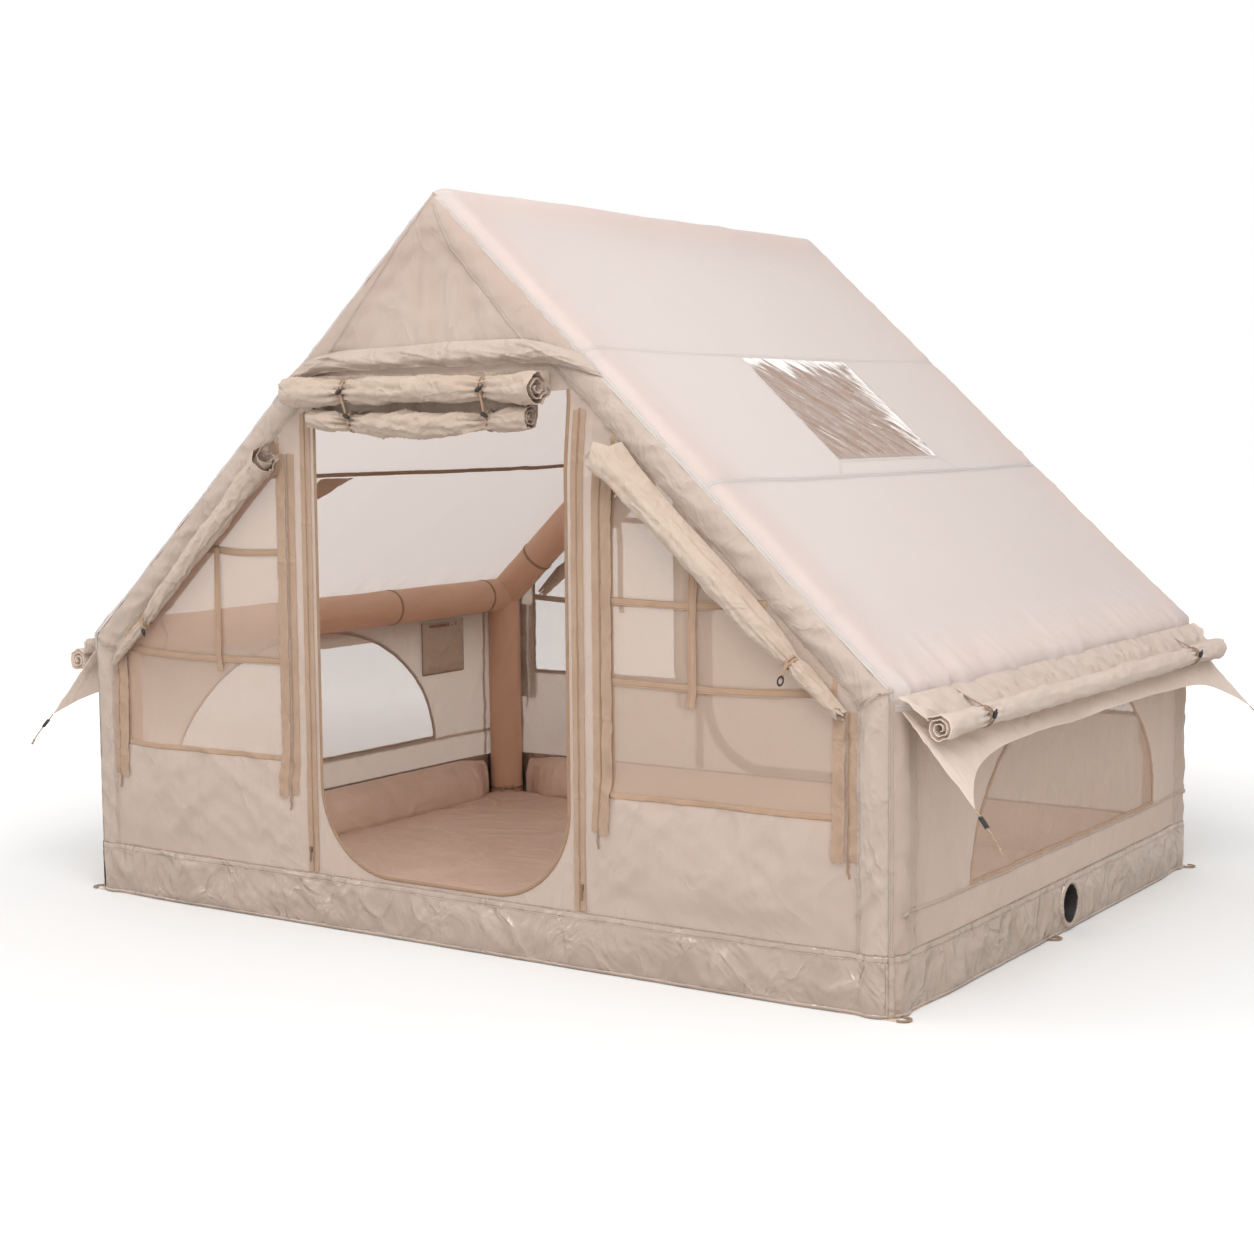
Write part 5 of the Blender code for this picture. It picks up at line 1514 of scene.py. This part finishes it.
# window covers, gathered along the sleeves
windowTable = (
    (0.0, 1.16), (0.03, 1.08), (0.08, 0.94), (0.16, 0.86), (0.28, 0.80), (0.42, 0.84),
    (0.56, 0.80), (0.68, 0.74), (0.76, 0.58), (0.80, 0.36), (0.84, 0.52), (0.92, 0.44),
    (1.0, 0.34))
coverLook = dict(rollLook, turns=1.7, core=0.42, steps=80, pleats=7, pull=0.22, lumps=0.15,
                 swells=0.18, lap=0.30, lapDeg=-15.0, twist=1.6, ragged=(0.035, 0.030))
cover = {"radius": 0.038, "depth": 0.166, "top": 0.62, "frontEnd": 1.345, "rearEnd": 1.29,
         "seat": 1.1433, "tie": 0.80, "tailSeat": 1.1415, "over": 1.36}


def addCover(face, side, label, end, node):
    up = np.array((side * sinPitch, 0, cosPitch))
    ends = [(side * x, face * cover["seat"], underRoof(x, cover["depth"]))
            for x in (cover["top"], end)]

    # from under the sleeve's seam down over the roll
    def tail(middle, radii):
        spots = []
        for share in np.linspace(0, 1, 5):
            row = middle + up * radii[:, None] * (cover["over"] - 0.36 * share)
            row[:, 1] = face * (cover["tailSeat"] + (radii + 0.001) * share**0.7)
            spots.append(row)
        return spots

    made, length, width = woundRoll(
        f"{wallNames[face]}Cover{label}", ends, cover["radius"], windowTable, (0, face, 0), 90, -1,
        tail, (cover["tie"],), 1500 + side + 5 * face, up=up, look=coverLook)
    dress(made, finishes["rollCloth"], nodes=[node], angle=80)
    addCoverTie(face, side, ends, label)


toggleProfile = [(-0.012, 0.0), (-0.012, 0.0035), (-0.0105, 0.0052), (-0.006, 0.0060),
                 (0.004, 0.0060), (0.008, 0.0052), (0.009, 0.0036), (0.0095, 0.0028),
                 (0.014, 0.0028), (0.015, 0.0020), (0.015, 0.0)]


def addToggle(name, centre, axis, body="tent"):
    piece = revolved(name, toggleProfile, centre, axis, 28,
                     lambda turn, along: 1 + 0.05 * np.cos(10 * turn) * (np.abs(along) < 0.007))
    return dress(piece, finishes["blackPlastic"], body)


# an oval of cord or tape drawn round a roll, in the plane of two half-axes
def tieLoop(centre, first, second, normal, half=0.0035, thick=0.0022):
    centre, first, second = (np.array(value, float) for value in (centre, first, second))
    steps = 48
    turns = np.linspace(0, 2 * math.pi, steps + 1)
    path = centre + np.outer(np.cos(turns), first) + np.outer(np.sin(turns), second)
    piece = addGrid("tieLoop", steps, 4)
    column, row = gridSteps(piece, steps, 4)
    across = (row / 2 - 1) * half
    writeFlat(piece, column * 0.005, across)
    writePoints(piece, path[column % steps] + np.outer(across, np.array(normal, float)))
    closeTube(piece, ends=False)
    return thickened(piece, thick)


def addCoverTie(face, side, ends, label):
    low, high = np.array(ends[0]), np.array(ends[1])
    along = (high - low) / np.linalg.norm(high - low)
    size = cover["radius"] * softTable(cover["tie"], windowTable)
    middle = low + (high - low) * cover["tie"] + np.array((0, face * size, 0))
    up = np.array((side * sinPitch, 0, cosPitch))
    reach = size * 1.28 + 0.002
    out = np.array((0.0, face, 0.0))
    loops = [tieLoop(middle + along * shift, up * reach, out * reach, along)
             for shift in (-0.005, 0.005)]
    front = middle + out * (reach + 0.001)
    down = np.array((-side * 0.35, 0, -0.94))
    loops.append(ribbon([front + up * 0.004, front, front + down * 0.02 + out * 0.003,
                         front + down * 0.045], out, 0.0040, 0.0016, frill=0.001))
    name = f"{wallNames[face]}Cover"
    trimPiece(f"{name}Tie{label}", "webbing", loops)
    if side < 0:
        addToggle(f"{name}Toggle{label}", front + down * 0.034 + out * 0.006, down)
    else:
        addRing(f"{name}Ring{label}", front + down * 0.050 + out * 0.004, out, down)


# oval hook ring seen face on, long way along its hang
def addRing(name, centre, facing, hang, long_=0.012, wide=0.008, wire_=0.0022, body="tent"):
    bpy.ops.object.select_all(action="DESELECT")
    bpy.ops.mesh.primitive_torus_add(major_radius=wide, minor_radius=wire_, major_segments=40,
                                     minor_segments=12)
    piece = bpy.context.active_object
    piece.name = piece.data.name = name
    bpy.ops.object.mode_set(mode="EDIT")
    bpy.ops.mesh.select_all(action="SELECT")
    bpy.ops.transform.resize(value=(1, long_ / wide, 1), center_override=(0, 0, 0))
    bpy.ops.object.mode_set(mode="OBJECT")
    facing, hang = Vector(facing).normalized(), Vector(hang).normalized()
    turn = Matrix((hang.cross(facing), hang, facing)).transposed()
    spots = readPoints(piece) @ np.array(turn).T + np.array(centre)
    writePoints(piece, spots)
    return dress(piece, finishes["blackPlastic"], body)


for side, label in bothSides:
    addCover(-1, side, label, cover["frontEnd"], f"front_window_roll_{label.lower()}")
    addCover(1, side, label, cover["rearEnd"], f"rear_window_{label.lower()}")
print("window covers gathered and tied")


# ties with toggles round the rolled doors and the side rolls
doorTies = ((-0.307, -0.290), (0.216, 0.226))  # along the door's roll and the net's


def addDoorTies():
    loops = []
    door, net = frontRolls["doorRoll"], frontRolls["netDoorRoll"]
    size, low = (roll["radius"] * softTable(roll["ties"][0], roll["table"]) for roll in (door, net))
    y, z, lowZ = -door["seat"], door["height"] + 0.004, net["height"] - 0.012
    for number, (x, lowX) in enumerate(doorTies):
        for shift in (-0.006, 0.006):
            loops.append(tieLoop((x + shift, y - size, z), (0, size + 0.005, 0),
                                 (0, 0, size + 0.006), (1, 0, 0.12)))
        loops.append(tieLoop((lowX, -net["seat"] - low, lowZ), (0, low + 0.005, 0),
                             (0, 0, low + 0.010), (1, 0, -0.2)))
        front = np.array((x, y - 2 * size - 0.004, z - 0.006))
        knot = np.array((lowX, -net["seat"] - 2 * low - 0.010, lowZ + 0.016))
        loops.append(ribbon([front, (front + knot) / 2 + (0.006, -0.006, 0), knot,
                             knot + (0.010, -0.002, -0.022)], (0, -1, 0), 0.0032, 0.0018,
                            frill=0.001))
        addToggle(f"doorToggle{number + 1}", front + (0.004, -0.008, 0.002), (1, -0.2, 0.5))
        addToggle(f"netToggle{number + 1}", knot + (0.006, -0.007, 0), (1, -0.1, -0.35))
    trimPiece("doorTies", "webbing", loops)


def addSideTies(side, label):
    loops = []
    out, height = sideCover["out"], sideCover["height"]
    size = sideCover["radius"] * softTable(sideCover["ties"][0], sideTable) * 1.20
    spots = (-sideCover["tieAt"], sideCover["tieAt"])
    for y in spots:
        for shift in (-0.009, 0.009):
            loops.append(tieLoop((side * out, y + shift, height), (size + 0.002, 0, 0),
                                 (0, 0, size + 0.002), (0, 1, 0), 0.0030, 0.0024))
        loops.append(ribbon([(side * (out - 0.080), y, height + 0.066),
                             (side * (out - 0.040), y, height + 0.046),
                             (side * (out - 0.004), y, height + size + 0.004)],
                            (side * 0.4, 0, 1), 0.005, 0.0016))
    trimPiece(f"side{label}Ties", "piping", loops)
    for number, y in enumerate(spots):
        addToggle(f"side{label}Toggle{number + 1}",
                  (side * (out + size + 0.008), y, height + 0.008), (0.3, 0.1, 1))


addDoorTies()
for side, label in bothSides:
    addSideTies(side, label)
print("ties drawn and toggled")


# what lies inside: pocket, puffed floor edge, inner seams, vent flap, tube rings, foot ties
pocket = {"left": 0.605, "right": 0.868, "low": 0.545, "high": 0.756, "wall": 1.4935,
          "depth": 0.024}


def addPocket():
    piece = addGrid("sidePocket", 44, 40)
    spots = readPoints(piece)
    u, v = spots[:, 0] + 0.5, spots[:, 1] + 0.5
    edge = np.minimum(np.minimum(u, 1 - u) / 0.14, v / 0.18)
    deep = pocket["depth"] * np.sqrt(np.clip(edge, 0, 1)) * (0.75 + 0.25 * v)
    gathers = 0.0034 * np.cos(u * 75) * np.exp(-((v - 0.93) / 0.10) ** 2)
    folds = 0.0050 * creased(u / 0.3 + v, v / 0.4, 31, 2)
    y = pocket["left"] + (pocket["right"] - pocket["left"]) * u
    z = pocket["low"] + (pocket["high"] - pocket["low"]) * v
    x = -pocket["wall"] + np.clip(deep + (gathers + folds) * eased(edge, 0.2, 1), 0, None)
    sewn(piece, y, z, np.stack([x, y, z], 1), 0.0012)
    dress(piece, finishes["rollCloth"])
    left, right, low, high = (pocket[key] for key in ("left", "right", "low", "high"))
    flush, near, rim = (-pocket["wall"] + off for off in (0.0022, 0.003, pocket["depth"] + 0.001))
    edges = [ribbon([(flush, *first), (flush, *last)], (1, 0, 0), 0.004, 0.0014)
             for first, last in (((left, low), (left, high)), ((right, low), (right, high)),
                                 ((left, low), (right, low)))]
    mouth = [(near, left + 0.002, high - 0.012), (rim - 0.001, left + 0.035, high - 0.014),
             (rim + 0.001, (left + right) / 2, high - 0.015),
             (rim - 0.001, right - 0.035, high - 0.014), (near, right - 0.002, high - 0.012)]
    edges.append(ribbon(mouth, (1, 0, 0), 0.006, 0.0016, 90, 0.0012))
    trimPiece("pocketEdges", "piping", edges)


puffLook = {"profile": ((0.000, 0.163), (0.018, 0.161), (0.045, 0.150), (0.074, 0.128),
                        (0.096, 0.096), (0.108, 0.058), (0.112, 0.025), (0.106, 0.006)),
            "folds": 0.008, "wall": 0.067}


# the tub's edge, puffed up inside between the skirt's seam and the floor
def addPuff(face):
    turns = faceTurns[face]
    axis, half = ((tent["tubeY"], 1.345), (tent["tubeX"], 0.985))[turns % 2]
    piece = addGrid(f"{face}TubPuff", int(half * 2 / 0.014), 26)
    spots = readPoints(piece)
    run, share = spots[:, 0] * 2 * half, spots[:, 1] + 0.5
    knots = np.linspace(0, 1, len(puffLook["profile"]))
    deep, high = (np.interp(share, knots, spots) for spots in zip(*puffLook["profile"]))
    body = np.sin(math.pi * share)
    near = half - np.abs(run)
    shrink = 0.30 + 0.70 * eased(near, 0.0, 0.16)
    gathers = creased(run / (0.05 + 0.10 * eased(near, 0, 0.4)), share / 1.3, 61 + turns, 2)
    broad = creased(run / 0.21, share / 0.5, 71 + turns, 2)
    folds = puffLook["folds"] * (gathers + 0.3 * broad) * body
    deep = deep * shrink + folds * 0.8
    high = high * (0.86 + 0.14 * shrink) + folds * 0.5
    x, y = run, -(axis + puffLook["wall"] - np.clip(deep, 0.0, None))
    for turn in range(turns):
        x, y = -y, x
    sewn(piece, run, share * 0.24, np.stack([x, y, np.clip(high, 0.0055, None)], 1), 0.0012)
    trimPiece(piece.name, "floorCloth", [piece])


gusset = {"outline": ((-0.60, 1.285), (-0.43, 1.285), (-0.60, 1.47)), "under": 0.007,
          "folds": 0.003}  # vent flap in the left slope, flat places along and down it
tubeRings = {"band": ((-0.006, 0.0684), (-0.002, 0.0694), (0.002, 0.0694), (0.006, 0.0684)),
             "beam": (-0.92, -0.33, 0.33, 0.92), "rafter": (0.24, 1.25), "foot": 0.030}


def addInside():
    addPocket()
    for face in ("front", "right", "rear", "left"):
        addPuff(face)
    inner = []
    for side in (1, -1):
        for run in roofLook["seams"][1 if side > 0 else 0:]:
            inner.append(strip([(-1.05, run), (1.05, run)], 0.010, roofPlace(side), lift=-0.0028,
                               crown=-0.0010, wobble=0.0008, seed=2650))
    trimPiece("innerRoofSeams", "piping", inner)
    sewPanel("roofGusset", gusset["outline"], lambda y, run, w: roofPlace(-1)(
        y, run, w - gusset["under"] + gusset["folds"] * creased(y / 0.05, run / 0.05, 91, 2)),
        "flapCloth", "canvas", None, ["roofLeft"])
    rings = []
    for side in (-1, 1):
        x = side * tent["tubeX"]
        spots = [((x, y, eaveZ), (0, 1, 0)) for y in tubeRings["beam"]]
        for y in (-tent["tubeY"], tent["tubeY"]):
            spots += [((x - side * along * cosPitch, y, eaveZ + along * sinPitch),
                       (cosPitch, 0, -side * sinPitch)) for along in tubeRings["rafter"]]
            spots.append(((x, y, tubeRings["foot"]), (0, 0, 1)))
        rings += [revolved("ring", tubeRings["band"], spot, way, 56, ends=False)
                  for spot, way in spots]
    for ring in rings:
        thickened(ring, 0.0009)
    trimPiece("tubeRings", "piping", rings)
    bows = []
    for x in (-1, 1):
        for y in (-1, 1):
            spot = np.array((x * (tent["tubeX"] - 0.050), y * (tent["tubeY"] - 0.050), 0.033))
            inward = np.array((-x, -y, 0)) / math.sqrt(2)
            across = np.array((-inward[1], inward[0], 0))
            for sign in (-1, 1):
                middle = spot + across * sign * 0.018 + inward * 0.006 + (0, 0, 0.010)
                end = spot + across * sign * 0.036 + inward * 0.010 + (0, 0, -0.012)
                bows.append(ribbon([spot, middle, end], inward, 0.004, 0.0014, 20))
    trimPiece("postTies", "webbing", bows)


addInside()
print("inside fitted out")


# port with its gathered collar and its sleeve, painted near-black as the shade in the hole, and the
# peg loops
portLook = {"collar": ((-0.004, 0.0590), (0.004, 0.0592), (0.010, 0.0612), (0.0135, 0.0650),
                       (0.0125, 0.0700), (0.008, 0.0735), (0.001, 0.0752)),
            "sleeve": ((0.010, 0.0590), (0.000, 0.0575), (-0.030, 0.0560), (-0.050, 0.0530),
                       (-0.062, 0.0430), (-0.066, 0.0200), (-0.067, 0.0)),
            "ruffles": 23}


def addPort():
    centre = (1.4985, port["centre"], port["height"])
    collar = revolved("portCollar", portLook["collar"], centre, (1, 0, 0), 138,
                      lambda turn, along: 1 + 0.010 * np.cos(portLook["ruffles"] * turn)
                      + 0.006 * np.cos(7 * turn + 1), ends=False)
    thickened(collar, 0.0014)
    trimPiece("portCollar", "skirtCloth", [collar])
    sleeve = revolved("portSleeve", portLook["sleeve"], centre, (1, 0, 0), 96, lambda turn, along: (
        1 + 0.035 * np.cos(9 * turn + along * 60) * np.clip(-along / 0.05, 0, 1)), ends=False)
    thickened(sleeve, 0.0010)
    # painted shade: the sleeve closing the port's hole is near-black
    trimPiece("portSleeve", "portHoleShade", [sleeve])


pegLoops = {"root": 1.4995, "reach": 0.0285, "bend": 0.020, "height": 0.0045,
            "along": (-1.1127, -0.095, 1.1127)}


def addPegLoops():
    root, bend, height = (pegLoops[key] for key in ("root", "bend", "height"))
    centre = root + pegLoops["reach"] - bend
    path = [(root, -bend), *[(centre + bend * math.cos(turn), bend * math.sin(turn))
                             for turn in np.linspace(-math.pi / 2, math.pi / 2, 13)], (root, bend)]
    loops = [ribbon([(side * x, y + across, height) for x, across in path], (0, 0, 1), 0.0048,
                    0.0030, 60, 0.0006) for side in (1, -1) for y in pegLoops["along"]]
    trimPiece("pegLoops", "piping", loops)


addPort()
addPegLoops()
print("port and peg loops sewn in")


# studio: white ground that keeps the soft shadow, plain soft light
studio = {"ambient": 0.90, "tint": (1, 0.99, 0.975), "ground": 0.72, "floor": 80,
          "nearLift": 0.03, "farLift": 0.50, "near": 2.3, "far": 5.0,
          "lights": {"keyLight": ((3.5, -4.5, 6.5), 5.0, 410.0),
                     "fillLight": ((-5.5, -4.0, 4.0), 5.0, 95.0)},  # place, size, power
          "aim": (0, 0, 0.9)}


# 1 where a ray comes from the camera, or by way of gloss or glass
def seenRays(tree):
    path = wire(tree, "LightPath").outputs
    seen = math2(tree, "MAXIMUM", path["Is Camera Ray"], path["Is Glossy Ray"])
    return math2(tree, "MAXIMUM", seen, path["Is Transmission Ray"])


def addStudio():
    world = bpy.data.worlds.new("studio")
    bpy.context.scene.world = world
    world.use_nodes = True
    tree = world.node_tree
    tree.nodes.clear()
    soft = wire(tree, "Background", {
        "Color": (*studio["tint"], 1), "Strength": studio["ambient"]})
    white = wire(tree, "Background", {"Color": (1, 1, 1, 1), "Strength": 1.0})
    both = wire(tree, "MixShader", {
        "Fac": seenRays(tree), 1: soft.outputs[0], 2: white.outputs[0]})
    wire(tree, "OutputWorld", {"Surface": both.outputs[0]})

    bpy.ops.object.select_all(action="DESELECT")
    bpy.ops.mesh.primitive_plane_add(size=studio["floor"])
    floor = bpy.context.active_object
    floor.name = "studioFloor"
    made, tree = newMaterial("studioFloor")
    base = wire(tree, "BsdfDiffuse", {"Color": (*[studio["ground"]] * 3, 1)})
    place = wire(tree, "TexCoord").outputs["Object"]
    away = wire(tree, "VectorMath", {0: place}, operation="LENGTH").outputs["Value"]
    lift = ranged(tree, away, *(studio[key] for key in ("near", "far", "nearLift", "farLift")))
    glow = wire(tree, "Emission", {
        "Color": (1, 1, 1, 1), "Strength": math2(tree, "MULTIPLY", seenRays(tree), lift)})
    both = wire(tree, "AddShader", {0: base.outputs[0], 1: glow.outputs[0]})
    wire(tree, "OutputMaterial", {"Surface": both.outputs[0]})
    floor.data.materials.append(made)

    for name, (place, size, power) in studio["lights"].items():
        data = bpy.data.lights.new(name, "AREA")
        data.shape, data.size, data.energy = "SQUARE", size, power
        lamp = bpy.data.objects.new(name, data)
        bpy.context.scene.collection.objects.link(lamp)
        lamp.location = place
        aim = Vector(studio["aim"]) - Vector(place)
        lamp.rotation_euler = aim.to_track_quat("-Z", "Y").to_euler()
    bpy.context.scene.view_settings.view_transform = "Standard"


addStudio()
print("studio lit")
